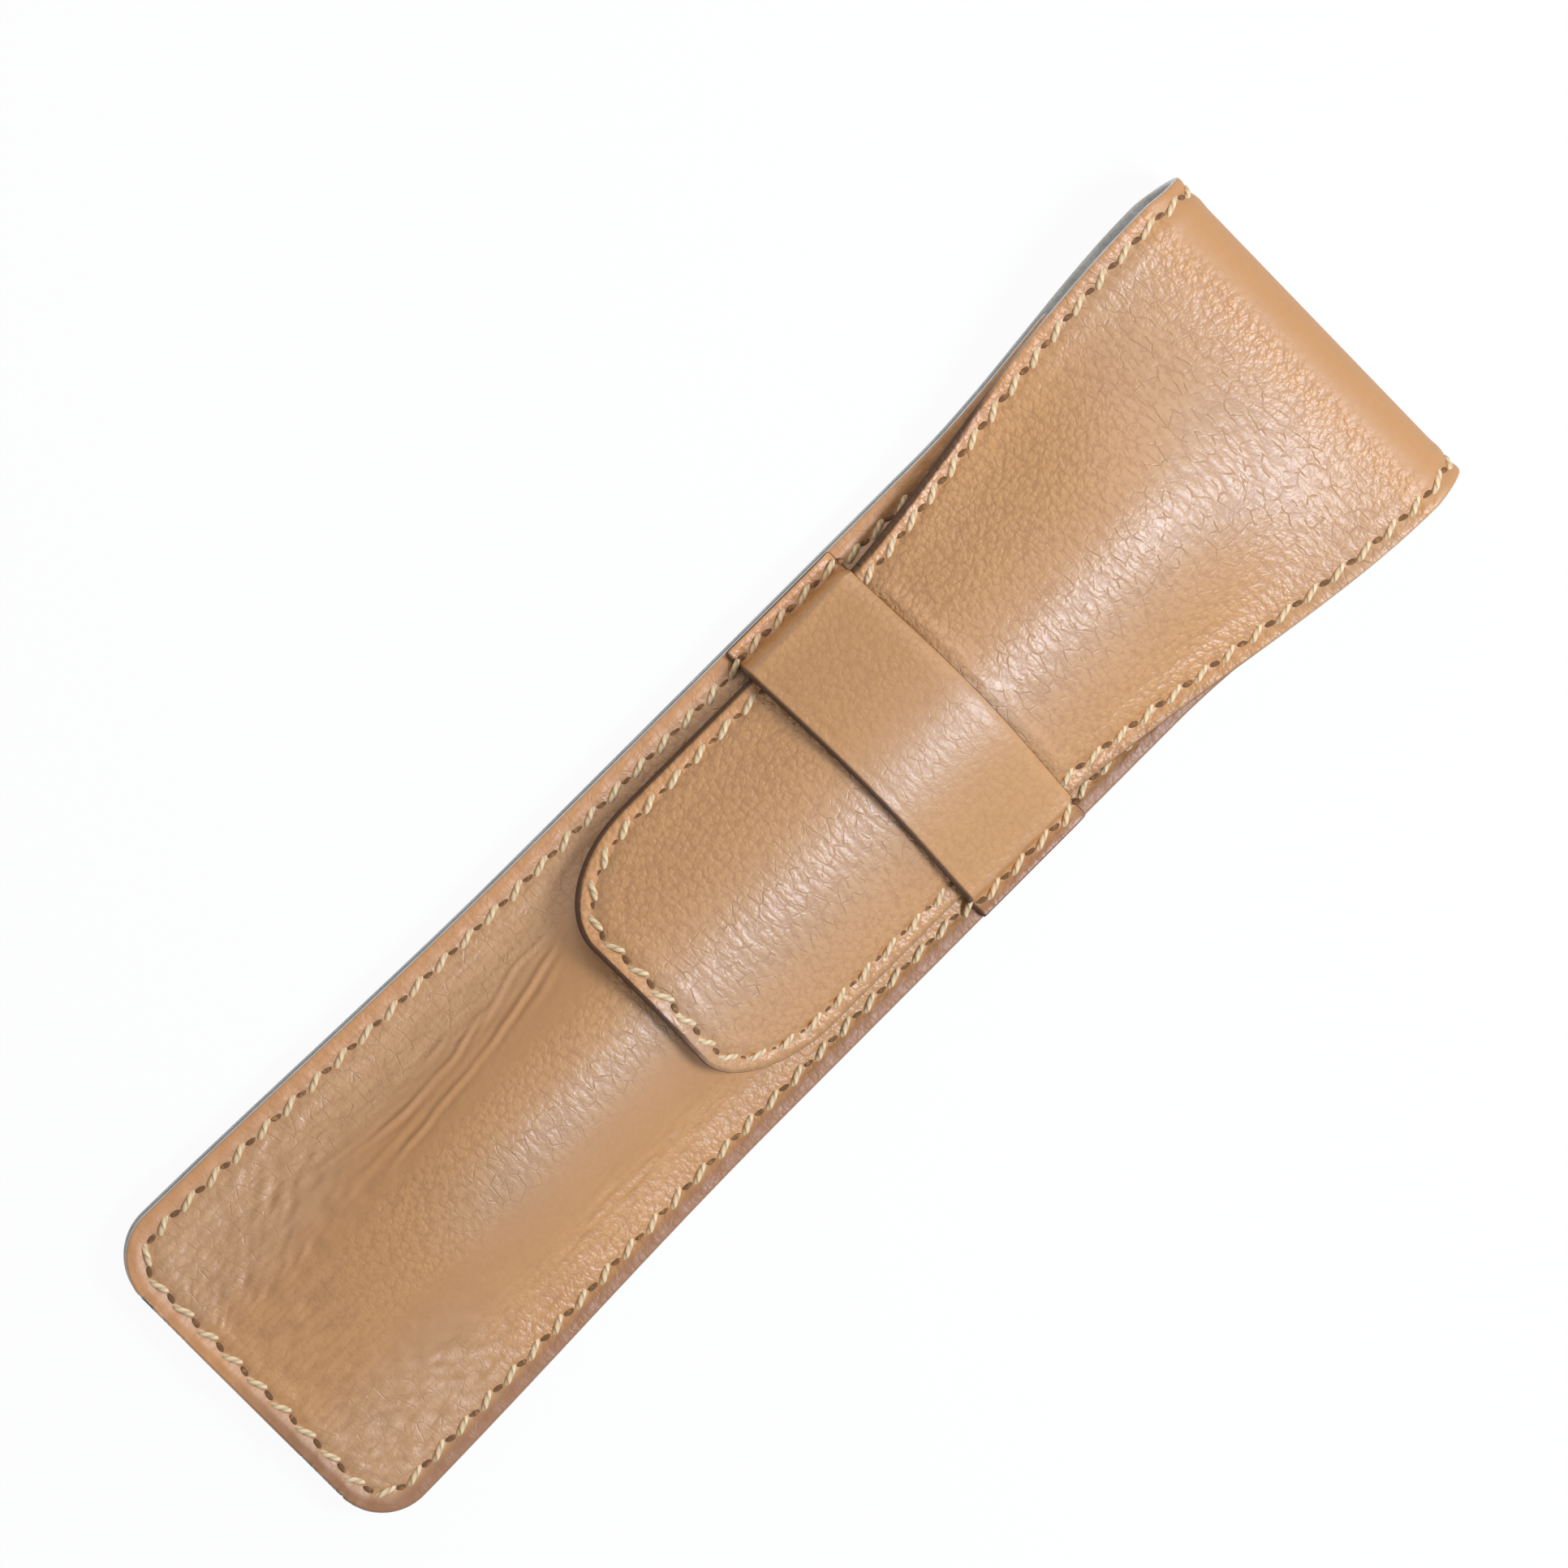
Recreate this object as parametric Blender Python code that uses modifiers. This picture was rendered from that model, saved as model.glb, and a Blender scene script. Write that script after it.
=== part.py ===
"""Slim leather pen case: a lined, saddle stitched pocket with a fold-over flap and a tucked tongue.

The case lies on its back. X runs across it, Y along it with the fold at +Y, and Z up from the
table. The outer leather of the back runs over the fold into the flap, which narrows into a tongue
that is held under a band across the front. All lengths are in metres.
"""
import math

import bmesh
import bpy
from mathutils import Matrix, Vector

MM = 0.001

# Outline of the case
CASE_LENGTH = 160 * MM
BOTTOM_WIDTH = 42.0 * MM
WAIST_WIDTH = 39.3 * MM
FOLD_WIDTH = 44.4 * MM
BOTTOM_CORNER_RADIUS = 6.3 * MM
BOTTOM_FLARE_LENGTH = 60 * MM
FOLD_FLARE_LENGTH = 35.5 * MM

# Sheets and the gap between two sheets that touch
LEATHER_THICKNESS = 1.1 * MM
LINING_THICKNESS = 0.4 * MM
BAND_THICKNESS = 1.2 * MM
GAP = 0.3 * MM

# The fold, a half roll of the outer leather
FOLD_RADIUS = 4.75 * MM
FOLD_END_TUCK = 0.5 * MM

# The bulge that the pocket holds its pens in
CROWN_RISE = 8.5 * MM
SEAM_MARGIN = 4.2 * MM
BOTTOM_FADE_LENGTH = 38 * MM
FOLD_FADE_LENGTH = 28 * MM
MOUTH_TO_FOLD = 20 * MM
SPREAD_SHARE = 0.45

# Flap and tongue
TONGUE_WIDTH = 32.1 * MM
TONGUE_REACH = 58.8 * MM
TONGUE_CORNER_WIDTH = 8 * MM
TONGUE_CORNER_LENGTH = 13 * MM
TAPER_LENGTH = 64 * MM
TAPER_START = 1 * MM
EDGE_LIFT_LENGTH = 8 * MM
SIDE_LIFT_LENGTH = 30 * MM

# The band that holds the tongue
BAND_WIDTH = 15.5 * MM
BAND_TO_BOTTOM = 90.7 * MM
BAND_TO_HINGE = 0.9 * MM
BAND_STEP_SHARE = 0.4

# Saddle stitching and the groove that it lies in on the back
SEAM_INSET = 2.1 * MM
STITCH_PITCH = 3.6 * MM
STITCH_LENGTH = 1.9 * MM
THREAD_DIAMETER = 0.45 * MM
STITCH_SLANT = math.radians(18)
GROOVE_WIDTH = 1.6 * MM
SEAM_TO_FOLD = 3 * MM
CUT_OVERRUN = 1 * MM

# Mesh density
CORNER_STEPS = 6
DOME_COLUMNS = 14
BAND_STEP_COLUMNS = 3
FOLD_STEPS = 12
PATH_STEPS = 160
OUTLINE_STRIDE = 10
FRONT_STEPS = 18
FLAP_STEPS = 12
TONGUE_STEPS = 8
BAND_STEPS = 3
STRETCH_SAMPLES = 4
ENVELOPE_STEPS = 12
SLOPE_PROBE = 0.1 * MM
FOOT_TRIES = 8

# Places that follow from the sizes
BOTTOM_Y = -CASE_LENGTH / 2
FOLD_Y = CASE_LENGTH / 2 - FOLD_RADIUS
MOUTH_Y = CASE_LENGTH / 2 - MOUTH_TO_FOLD
BAND_LOW_Y = BOTTOM_Y + BAND_TO_BOTTOM
BAND_HIGH_Y = BAND_LOW_Y + BAND_WIDTH
TONGUE_ROOT_Y = BAND_HIGH_Y + BAND_TO_HINGE
TONGUE_END_Y = BOTTOM_Y + TONGUE_REACH
TAPER_HIGH_Y = CASE_LENGTH / 2 - TAPER_START
TAPER_LOW_Y = TAPER_HIGH_Y - TAPER_LENGTH
SEAM_HIGH_Y = FOLD_Y - SEAM_TO_FOLD

# Heights of the sheets: the back ones above the table, the front ones above the pocket's floor
BACK_LINING_Z = LEATHER_THICKNESS + GAP
BACK_TOP_Z = BACK_LINING_Z + LINING_THICKNESS
POCKET_FLOOR_Z = BACK_TOP_Z + GAP
FRONT_LEATHER_OFFSET = LINING_THICKNESS + GAP
FRONT_TOP_OFFSET = FRONT_LEATHER_OFFSET + LEATHER_THICKNESS
FLAP_LINING_OFFSET = FRONT_TOP_OFFSET + GAP
FLAP_LEATHER_OFFSET = FLAP_LINING_OFFSET + LINING_THICKNESS + GAP
FLAP_TOP_OFFSET = FLAP_LEATHER_OFFSET + LEATHER_THICKNESS
BAND_OFFSET = FLAP_TOP_OFFSET + GAP + THREAD_DIAMETER + GAP
FOLD_RISE = 2 * FOLD_RADIUS - FLAP_TOP_OFFSET - POCKET_FLOOR_Z
EDGE_LIFT = THREAD_DIAMETER + 3 / 2 * GAP
LINING_FOLD_RADIUS = FOLD_RADIUS - LEATHER_THICKNESS - GAP

# Joint axes: the two creases of the roll, and the line that the tongue bends at
CREASE_REACH = FOLD_RADIUS * math.sin(math.pi / 4)
LOWER_CREASE = Vector((0, FOLD_Y + CREASE_REACH, FOLD_RADIUS - CREASE_REACH))
UPPER_CREASE = Vector((0, FOLD_Y + CREASE_REACH, FOLD_RADIUS + CREASE_REACH))
TONGUE_CREASE = Vector((0, TONGUE_ROOT_Y, POCKET_FLOOR_Z + FLAP_LEATHER_OFFSET + CROWN_RISE / 2))

TAN_LEATHER = ("tan_leather", (0.56, 0.33, 0.17), 0.55)
BAND_LEATHER = ("band_leather", (0.60, 0.37, 0.20), 0.5)
GREY_LINING = ("grey_lining", (0.30, 0.34, 0.37), 0.9)
CREAM_THREAD = ("cream_thread", (0.80, 0.62, 0.40), 0.7)


def smooth_step(start, end, at):
    """0 up to start and 1 from end on, with an even S between them."""
    share = min(max((at - start) / (end - start), 0), 1)
    return share * share * (3 - 2 * share)


def corner_cut(y, end_y, width, length):
    """What a rounded corner takes off a half width at y, where the outline ends at end_y."""
    into = min(max((y - end_y) / length, 0), 1)
    return width * (1 - math.sqrt(1 - (1 - into) ** 2))


def side_half_width(y):
    """Half the width of the case at y, before its bottom corners are rounded."""
    low = (BOTTOM_WIDTH - WAIST_WIDTH) * smooth_step(BOTTOM_Y + BOTTOM_FLARE_LENGTH, BOTTOM_Y, y)
    high = (FOLD_WIDTH - WAIST_WIDTH) * smooth_step(FOLD_Y - FOLD_FLARE_LENGTH, FOLD_Y, y)
    return (WAIST_WIDTH + low + high) / 2


def case_half_width(y):
    """Half the width of the case at y."""
    return side_half_width(y) - corner_cut(y, BOTTOM_Y, BOTTOM_CORNER_RADIUS, BOTTOM_CORNER_RADIUS)


def flap_half_width(y):
    """Half the width of the flap at y, down to the rounded end of its tongue."""
    taper = (FOLD_WIDTH - TONGUE_WIDTH) * smooth_step(TAPER_LOW_Y, TAPER_HIGH_Y, y)
    cut = corner_cut(y, TONGUE_END_Y, TONGUE_CORNER_WIDTH, TONGUE_CORNER_LENGTH)
    return (TONGUE_WIDTH + taper) / 2 - cut


def crown_rise(y):
    """How far the middle of the bulge stands above the flat margins at y."""
    bottom = BOTTOM_Y + SEAM_MARGIN
    filled = smooth_step(bottom, bottom + BOTTOM_FADE_LENGTH, y)
    toward_fold = smooth_step(FOLD_Y - FOLD_FADE_LENGTH, FOLD_Y, y)
    return filled * (CROWN_RISE + (FOLD_RISE - CROWN_RISE) * toward_fold)


def flap_lift(y):
    """How far the flap's edges stand off the pocket: over the seam thread, then up to the fold."""
    over_thread = EDGE_LIFT * smooth_step(TONGUE_ROOT_Y, TONGUE_ROOT_Y + EDGE_LIFT_LENGTH, y)
    to_fold = (FOLD_RISE - EDGE_LIFT) * smooth_step(FOLD_Y - SIDE_LIFT_LENGTH, FOLD_Y, y)
    return over_thread + to_fold


def no_lift(_y):
    """The pocket's own front lies flat on its margins all along."""
    return 0


def dome_height(x, y, offset, lift):
    """The height of the bulged front at (x, y); sheets further out spread a little wider."""
    inner = side_half_width(y) - SEAM_MARGIN + SPREAD_SHARE * offset
    dome = math.cos(math.pi / 2 * min(abs(x) / inner, 1)) ** 2
    return POCKET_FLOOR_Z + lift(y) + (crown_rise(y) - lift(y)) * dome


def dome_normal(x, y, offset, lift):
    """The direction square to the bulged front at (x, y)."""
    def height(at_x, at_y):
        return dome_height(at_x, at_y, offset, lift)

    slope_x = (height(x + SLOPE_PROBE, y) - height(x - SLOPE_PROBE, y)) / (2 * SLOPE_PROBE)
    slope_y = (height(x, y + SLOPE_PROBE) - height(x, y - SLOPE_PROBE)) / (2 * SLOPE_PROBE)
    return Vector((-slope_x, -slope_y, 1)).normalized()


def dome_seat(x, y, offset, lift=no_lift):
    """The point over (x, y) at a distance offset above the bulged front."""
    foot_x, foot_y = x, y
    for _ in range(FOOT_TRIES):
        lean = offset * dome_normal(foot_x, foot_y, offset, lift)
        foot_x, foot_y = x - lean.x, y - lean.y
    return Vector((x, y, dome_height(foot_x, foot_y, offset, lift) + lean.z))


def band_seat(x, y, offset):
    """As dome_seat, for the band, which steps down beside the flap to the pocket's margins."""
    flap_edge = flap_half_width(BAND_HIGH_Y) + 2 * GAP
    step_end = flap_edge + BAND_STEP_SHARE * (case_half_width(y) - flap_edge)
    down = (BAND_OFFSET - FRONT_TOP_OFFSET - GAP) * smooth_step(flap_edge, step_end, abs(x))
    return dome_seat(x, y, offset - down)


def material(look):
    """The Principled material of a look, made once."""
    name, color, roughness = look
    made = bpy.data.materials.get(name) or bpy.data.materials.new(name)
    made.use_nodes = True
    shader = made.node_tree.nodes["Principled BSDF"]
    shader.inputs["Base Color"].default_value = (*color, 1)
    shader.inputs["Roughness"].default_value = roughness
    shader.inputs["Metallic"].default_value = 0
    made.diffuse_color = (*color, 1)
    return made


def collection(name):
    """A new collection in the scene."""
    made = bpy.data.collections.new(name)
    bpy.context.scene.collection.children.link(made)
    return made


def link(name, data, into, parent, look=None):
    """A new object in a collection, with its origin on its parent's joint axis."""
    made = bpy.data.objects.new(name, data)
    into.objects.link(made)
    if look:
        data.materials.append(material(look))
    if parent:
        made.parent = parent
    return made


def pivot(name, place, into, parent=None):
    """An empty on a joint's axis."""
    made = bpy.data.objects.new(name, None)
    made.empty_display_size = FOLD_RADIUS
    made.location = place - (parent.matrix_world.translation if parent else Vector())
    made.parent = parent
    into.objects.link(made)
    bpy.context.view_layer.update()
    return made


def origin_of(parent):
    """Where an object under parent has its origin, in the world."""
    return parent.matrix_world.translation.copy() if parent else Vector()


def sheet(name, columns, stations, place, thickness, into, parent, look):
    """A sheet of leather or lining: a grid laid on place(column, station), thickened outwards."""
    build = bmesh.new()
    bmesh.ops.create_grid(build, x_segments=len(columns) - 1, y_segments=len(stations) - 1, size=1)
    for vert in build.verts:
        column = columns[round((vert.co.x + 1) / 2 * (len(columns) - 1))]
        station = stations[round((vert.co.y + 1) / 2 * (len(stations) - 1))]
        vert.co = place(column, station) - origin_of(parent)
    mesh = bpy.data.meshes.new(name)
    build.to_mesh(mesh)
    build.free()
    mesh.shade_smooth()
    made = link(name, mesh, into, parent, look)
    thicken = made.modifiers.new("thickness", "SOLIDIFY")
    thicken.thickness = thickness
    thicken.offset = 1
    thicken.use_even_offset = True
    return made


def even_steps(start, end, count):
    """count + 1 values from start to end."""
    return [start + (end - start) * n / count for n in range(count + 1)]


def end_stations(end_y, length, toward_y, straight_steps):
    """Places along Y from an end with rounded corners up to toward_y, close together in the corners."""
    turns = even_steps(0, math.pi / 2, CORNER_STEPS)
    corner = [end_y + length * (1 - math.cos(turn)) for turn in turns]
    return corner + even_steps(end_y + length, toward_y, straight_steps)[1:]


def case_columns():
    """Shares across the case: its two flat edges, and even steps over the bulge between them."""
    return [-2] + even_steps(-1, 1, DOME_COLUMNS) + [2]


def case_column_x(column, y, offset):
    """Where a column of case_columns lies: at the edge, or at its share of the bulge."""
    if abs(column) > 1:
        return math.copysign(case_half_width(y), column)
    inner = case_half_width(y) - SEAM_MARGIN + SPREAD_SHARE * offset
    return column * inner


def u_path(half_width, end_y, width, length, inset, high_y):
    """Points along a U outline, set in by inset: down its left side, round its end and up its right.
    Its corners are rounded over a width and a length."""
    low_y = end_y + length
    side = even_steps(high_y, low_y, PATH_STEPS)
    left = [Vector((inset - half_width(y), y, 0)) for y in side]
    centre_x = half_width(low_y) - width
    turns = even_steps(0, math.pi / 2, CORNER_STEPS)[1:]
    across, along = width - inset, length - inset
    corner = [Vector((-centre_x - across * math.cos(t), low_y - along * math.sin(t), 0)) for t in turns]
    half = left + corner
    return half + [Vector((-p.x, p.y, 0)) for p in reversed(half)]


def case_path(inset, high_y=SEAM_HIGH_Y):
    """The case's outline, set in."""
    radius = BOTTOM_CORNER_RADIUS
    return u_path(case_half_width, BOTTOM_Y, radius, radius, inset, high_y)


def flap_path(inset):
    """The flap's outline, set in."""
    width, length = TONGUE_CORNER_WIDTH, TONGUE_CORNER_LENGTH
    return u_path(flap_half_width, TONGUE_END_Y, width, length, inset, SEAM_HIGH_Y)


def spaced_along(path, pitch):
    """(point, direction) of evenly spaced stitches along a path, about a pitch apart."""
    lengths = [(b - a).length for a, b in zip(path, path[1:])]
    count = max(round(sum(lengths) / pitch), 1)
    step = sum(lengths) / count
    found, walked, goal = [], 0, step / 2
    for start, end, length in zip(path, path[1:], lengths):
        while goal <= walked + length and len(found) < count:
            direction = (end - start).normalized()
            found.append((start + direction * (goal - walked), direction))
            goal += step
        walked += length
    return found


def stitched(path):
    """The ends of slanted stitches along a path, in order."""
    points = []
    for point, direction in spaced_along(path, STITCH_PITCH):
        half = Matrix.Rotation(STITCH_SLANT, 3, "Z") @ direction * STITCH_LENGTH / 2
        points += [point - half, point + half]
    return points


def thread(name, points, into, parent):
    """A length of thread along one face: its stitches, and what joins each to the next."""
    curve = bpy.data.curves.new(name, "CURVE")
    curve.dimensions = "3D"
    curve.bevel_depth = THREAD_DIAMETER / 2
    curve.bevel_resolution = 0
    curve.use_fill_caps = True
    run = curve.splines.new("POLY")
    run.points.add(len(points) - 1)
    for target, source in zip(run.points, points):
        target.co = (*(source - origin_of(parent)), 1)
    return link(name, curve, into, parent, CREAM_THREAD)


def plate(name, path, thickness, low_z, into, look=None):
    """A flat plate with an outline, from low_z up."""
    curve = bpy.data.curves.new(name, "CURVE")
    curve.dimensions = "2D"
    curve.fill_mode = "BOTH"
    curve.extrude = thickness / 2
    outline = curve.splines.new("POLY")
    outline.points.add(len(path) - 1)
    for target, source in zip(outline.points, path):
        target.co = (source.x, source.y, 0, 1)
    outline.use_cyclic_u = True
    made = link(name, curve, into, None, look)
    made.location.z = low_z + thickness / 2
    return made


def as_mesh(curved):
    """A curve object as a mesh object of the same name, with its caps welded on."""
    bpy.context.view_layer.update()
    name, into, place = curved.name, curved.users_collection[0], curved.matrix_world.copy()
    evaluated = curved.evaluated_get(bpy.context.evaluated_depsgraph_get())
    mesh = bpy.data.meshes.new_from_object(evaluated)
    bpy.data.objects.remove(curved)
    build = bmesh.new()
    build.from_mesh(mesh)
    bmesh.ops.remove_doubles(build, verts=build.verts, dist=GAP / 100)
    build.to_mesh(mesh)
    build.free()
    made = bpy.data.objects.new(name, mesh)
    into.objects.link(made)
    made.matrix_world = place
    return made


def thinned(path):
    """A path with few of the points of its long sides, which are nearly straight."""
    last = len(path) - 1
    kept = {n for n in range(len(path)) if PATH_STEPS < n < last - PATH_STEPS}
    for n in range(0, PATH_STEPS + 1, OUTLINE_STRIDE):
        kept |= {n, last - n}
    return [path[n] for n in sorted(kept)]


def back_sheets(into, cutters):
    """The flat back: outer leather with its stitching groove, and the lining on it."""
    outline = thinned(case_path(0, FOLD_Y - GAP))
    leather = as_mesh(plate("back_leather", outline, LEATHER_THICKNESS, 0, into, TAN_LEATHER))
    outer = thinned(case_path(SEAM_INSET - GROOVE_WIDTH / 2))
    inner = thinned(case_path(SEAM_INSET + GROOVE_WIDTH / 2))
    depth = THREAD_DIAMETER + GAP
    ring = outer + list(reversed(inner))
    cutter = as_mesh(plate("groove_cutter", ring, depth + CUT_OVERRUN, -CUT_OVERRUN, cutters))
    cutter.hide_render = True
    cutter.display_type = "WIRE"
    cut = leather.modifiers.new("stitching_groove", "BOOLEAN")
    cut.operation = "DIFFERENCE"
    cut.solver = "EXACT"
    cut.object = cutter
    plate("back_lining", outline, LINING_THICKNESS, BACK_LINING_Z, into, GREY_LINING)


def front_sheets(into):
    """The pocket's bulged front: its lining and its outer leather, up to the mouth."""
    stations = end_stations(BOTTOM_Y, BOTTOM_CORNER_RADIUS, MOUTH_Y, FRONT_STEPS)
    plies = (
        ("front_lining", 0, LINING_THICKNESS, GREY_LINING),
        ("front_leather", FRONT_LEATHER_OFFSET, LEATHER_THICKNESS, TAN_LEATHER),
    )
    for name, offset, thickness, look in plies:
        def place(column, y, offset=offset):
            return dome_seat(case_column_x(column, y, offset), y, offset)

        sheet(name, case_columns(), stations, place, thickness, into, None, look)


def band(into):
    """The band across the front, which arches over the tongue and is sewn down at both ends."""
    step_start = flap_half_width(BAND_HIGH_Y) + 2 * GAP
    steps = even_steps(1, 2, BAND_STEP_COLUMNS)[1:] + [3]
    columns = [-s for s in reversed(steps)] + even_steps(-1, 1, DOME_COLUMNS) + steps

    def place(column, y):
        edge = case_half_width(y)
        reach = abs(column)
        if reach <= 1:
            x = reach * step_start
        elif reach <= 2:
            x = step_start + (reach - 1) * BAND_STEP_SHARE * (edge - step_start)
        else:
            x = edge
        return band_seat(math.copysign(x, column), y, BAND_OFFSET)

    stations = even_steps(BAND_LOW_Y, BAND_HIGH_Y, BAND_STEPS)
    sheet("retaining_band", columns, stations, place, BAND_THICKNESS, into, None, BAND_LEATHER)


def fold_sheets(into, parent):
    """The half roll that joins the back to the flap, in leather and in lining."""
    plies = (
        ("fold_lining", LINING_FOLD_RADIUS - LINING_THICKNESS, LINING_THICKNESS, GREY_LINING),
        ("fold_leather", FOLD_RADIUS - LEATHER_THICKNESS, LEATHER_THICKNESS, TAN_LEATHER),
    )
    for name, radius, thickness, look in plies:
        def place(column, turn, radius=radius):
            half = FOLD_WIDTH / 2 - FOLD_END_TUCK * math.cos(turn)
            y = FOLD_Y + radius * math.cos(turn)
            return Vector((-column * half, y, FOLD_RADIUS + radius * math.sin(turn)))

        turns = even_steps(-math.pi / 2, math.pi / 2, FOLD_STEPS)
        sheet(name, (-1, 1), turns, place, thickness, into, parent, look)


def flap_sheets(prefix, stations, lift, into, parent):
    """The lining and the leather of a stretch of the flap."""
    plies = (
        (prefix + "_lining", FLAP_LINING_OFFSET, LINING_THICKNESS, GREY_LINING),
        (prefix + "_leather", FLAP_LEATHER_OFFSET, LEATHER_THICKNESS, TAN_LEATHER),
    )
    for name, offset, thickness, look in plies:
        def place(column, y, offset=offset):
            return dome_seat(column * flap_half_width(y), y, offset, lift)

        sheet(name, even_steps(-1, 1, DOME_COLUMNS), stations, place, thickness, into, parent, look)


def case_top(point):
    """The height of the top face of the pocket's edge below a point: the band, the front or the back."""
    x, y = point.x, point.y
    if BAND_LOW_Y - GAP <= y <= BAND_HIGH_Y + GAP:
        turns = even_steps(0, math.pi, ENVELOPE_STEPS)
        return max(band_seat(x + BAND_THICKNESS * math.cos(turn), y, BAND_OFFSET).z
                   + BAND_THICKNESS * math.sin(turn) for turn in turns)
    if y <= MOUTH_Y + GAP:
        return dome_seat(x, y, FRONT_TOP_OFFSET).z
    return BACK_TOP_Z


def case_threads(into):
    """The case's seam thread on both faces: on top of the front, and in the groove of the back."""
    points = stitched(case_path(SEAM_INSET))
    tops = [max(case_top(a.lerp(b, share)) for share in even_steps(0, 1, STRETCH_SAMPLES))
            for a, b in zip(points, points[1:])]
    heights = [max(pair) for pair in zip(tops[:1] + tops, tops + tops[-1:])]
    clear = GAP + THREAD_DIAMETER / 2
    front = [Vector((p.x, p.y, height + clear)) for p, height in zip(points, heights)]
    back = [Vector((p.x, p.y, THREAD_DIAMETER / 2)) for p in points]
    thread("case_seam_front_thread", front, into, None)
    thread("case_seam_back_thread", back, into, None)


def flap_threads(into, flap, tongue):
    """The seam thread along the edge of the flap, on its left and right, and round its tongue."""
    points = stitched(flap_path(SEAM_INSET))
    offset = FLAP_TOP_OFFSET + GAP + THREAD_DIAMETER / 2
    on_flap = [dome_seat(p.x, p.y, offset, flap_lift) for p in points if p.y > TONGUE_ROOT_Y + GAP]
    on_tongue = [dome_seat(p.x, p.y, offset) for p in points if p.y < TONGUE_ROOT_Y - GAP]
    thread("flap_seam_left_thread", [p for p in on_flap if p.x < 0], into, flap)
    thread("flap_seam_right_thread", [p for p in on_flap if p.x > 0], into, flap)
    thread("tongue_seam_thread", on_tongue, into, tongue)


def main():
    """Builds the case, closed."""
    for old in list(bpy.data.objects):
        bpy.data.objects.remove(old)
    parts = collection("leather_pen_case")
    cutters = collection("cutters")
    fold = pivot("fold_axis", LOWER_CREASE, parts)
    flap = pivot("flap_axis", UPPER_CREASE, parts, fold)
    tongue = pivot("tongue_axis", TONGUE_CREASE, parts, flap)
    back_sheets(parts, cutters)
    front_sheets(parts)
    band(parts)
    fold_sheets(parts, fold)
    flap_stations = even_steps(TONGUE_ROOT_Y + GAP, FOLD_Y - GAP, FLAP_STEPS)
    flap_sheets("flap", flap_stations, flap_lift, parts, flap)
    tongue_stations = end_stations(TONGUE_END_Y, TONGUE_CORNER_LENGTH, TONGUE_ROOT_Y, TONGUE_STEPS)
    flap_sheets("tongue", tongue_stations, no_lift, parts, tongue)
    case_threads(parts)
    flap_threads(parts, flap, tongue)


main()
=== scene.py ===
"""Slim leather pen case: grained leather, lining, band and saddle stitching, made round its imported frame.

X runs across the case, Y along it with the fold at +Y, and Z up from the table. The outer leather
of the back rolls over the fold into the flap, whose tongue is held under a band across the front.
"""
import math

import bpy
import numpy as np
from mathutils import Matrix, Vector, noise


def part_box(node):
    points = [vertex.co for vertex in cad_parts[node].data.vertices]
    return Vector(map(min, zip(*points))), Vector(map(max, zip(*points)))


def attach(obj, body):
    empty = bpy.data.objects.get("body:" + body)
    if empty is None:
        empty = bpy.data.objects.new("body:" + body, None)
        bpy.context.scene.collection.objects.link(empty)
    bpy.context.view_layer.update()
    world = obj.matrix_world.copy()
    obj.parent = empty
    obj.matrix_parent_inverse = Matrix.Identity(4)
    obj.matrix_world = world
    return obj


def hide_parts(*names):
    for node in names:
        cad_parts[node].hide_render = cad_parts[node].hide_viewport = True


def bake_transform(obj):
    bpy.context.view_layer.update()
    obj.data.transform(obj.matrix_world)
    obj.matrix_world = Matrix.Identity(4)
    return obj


bl_info = {
    "name": "Leather Pen Case",
    "version": (1, 0, 0),
    "blender": (4, 5, 0),
    "location": "View3D > Sidebar > Pen Case",
    "description": "Makes a saddle stitched leather pen case round its packed frame",
    "category": "Object",
}

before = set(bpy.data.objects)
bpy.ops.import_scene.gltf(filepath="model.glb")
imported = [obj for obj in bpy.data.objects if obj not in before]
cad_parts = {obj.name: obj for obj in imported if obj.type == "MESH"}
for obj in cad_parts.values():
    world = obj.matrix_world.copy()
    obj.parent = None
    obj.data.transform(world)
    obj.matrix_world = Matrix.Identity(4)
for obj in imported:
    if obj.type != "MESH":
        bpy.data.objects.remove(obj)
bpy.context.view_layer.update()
MM = 0.001

# Places that the frame gives
BACK_LOW, BACK_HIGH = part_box("back_leather")
LINING_LOW, LINING_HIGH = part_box("back_lining")
BAND_LOW, BAND_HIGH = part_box("retaining_band")
ROLL_LOW, ROLL_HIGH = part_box("fold_leather")
TONGUE_LOW, TONGUE_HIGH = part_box("tongue_leather")

BOTTOM_Y = BACK_LOW.y
LEATHER = BACK_HIGH.z - BACK_LOW.z
LINING = LINING_HIGH.z - LINING_LOW.z
GAP = LINING_LOW.z - BACK_HIGH.z
ROLL_RADIUS = (ROLL_HIGH.z + ROLL_LOW.z) / 2
FOLD_Y = ROLL_LOW.y
ROLL_TOP = FOLD_Y + ROLL_RADIUS * math.pi / 2
FOLD_WIDTH = ROLL_HIGH.x - ROLL_LOW.x
MOUTH_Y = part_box("front_leather")[1].y
TONGUE_ROOT_Y = TONGUE_HIGH.y
TONGUE_END_Y = TONGUE_LOW.y

# Heights of the sheets: the back ones above the table, the front ones above the pocket's floor
POCKET_FLOOR_Z = LINING_HIGH.z + GAP
FRONT_LEATHER_OFFSET = LINING + GAP
FRONT_TOP_OFFSET = FRONT_LEATHER_OFFSET + LEATHER
FLAP_LINING_OFFSET = FRONT_TOP_OFFSET + GAP
FLAP_LEATHER_OFFSET = FLAP_LINING_OFFSET + LINING + GAP
FLAP_TOP_OFFSET = FLAP_LEATHER_OFFSET + LEATHER
FOLD_RISE = 2 * ROLL_RADIUS - FLAP_TOP_OFFSET - POCKET_FLOOR_Z

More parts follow.
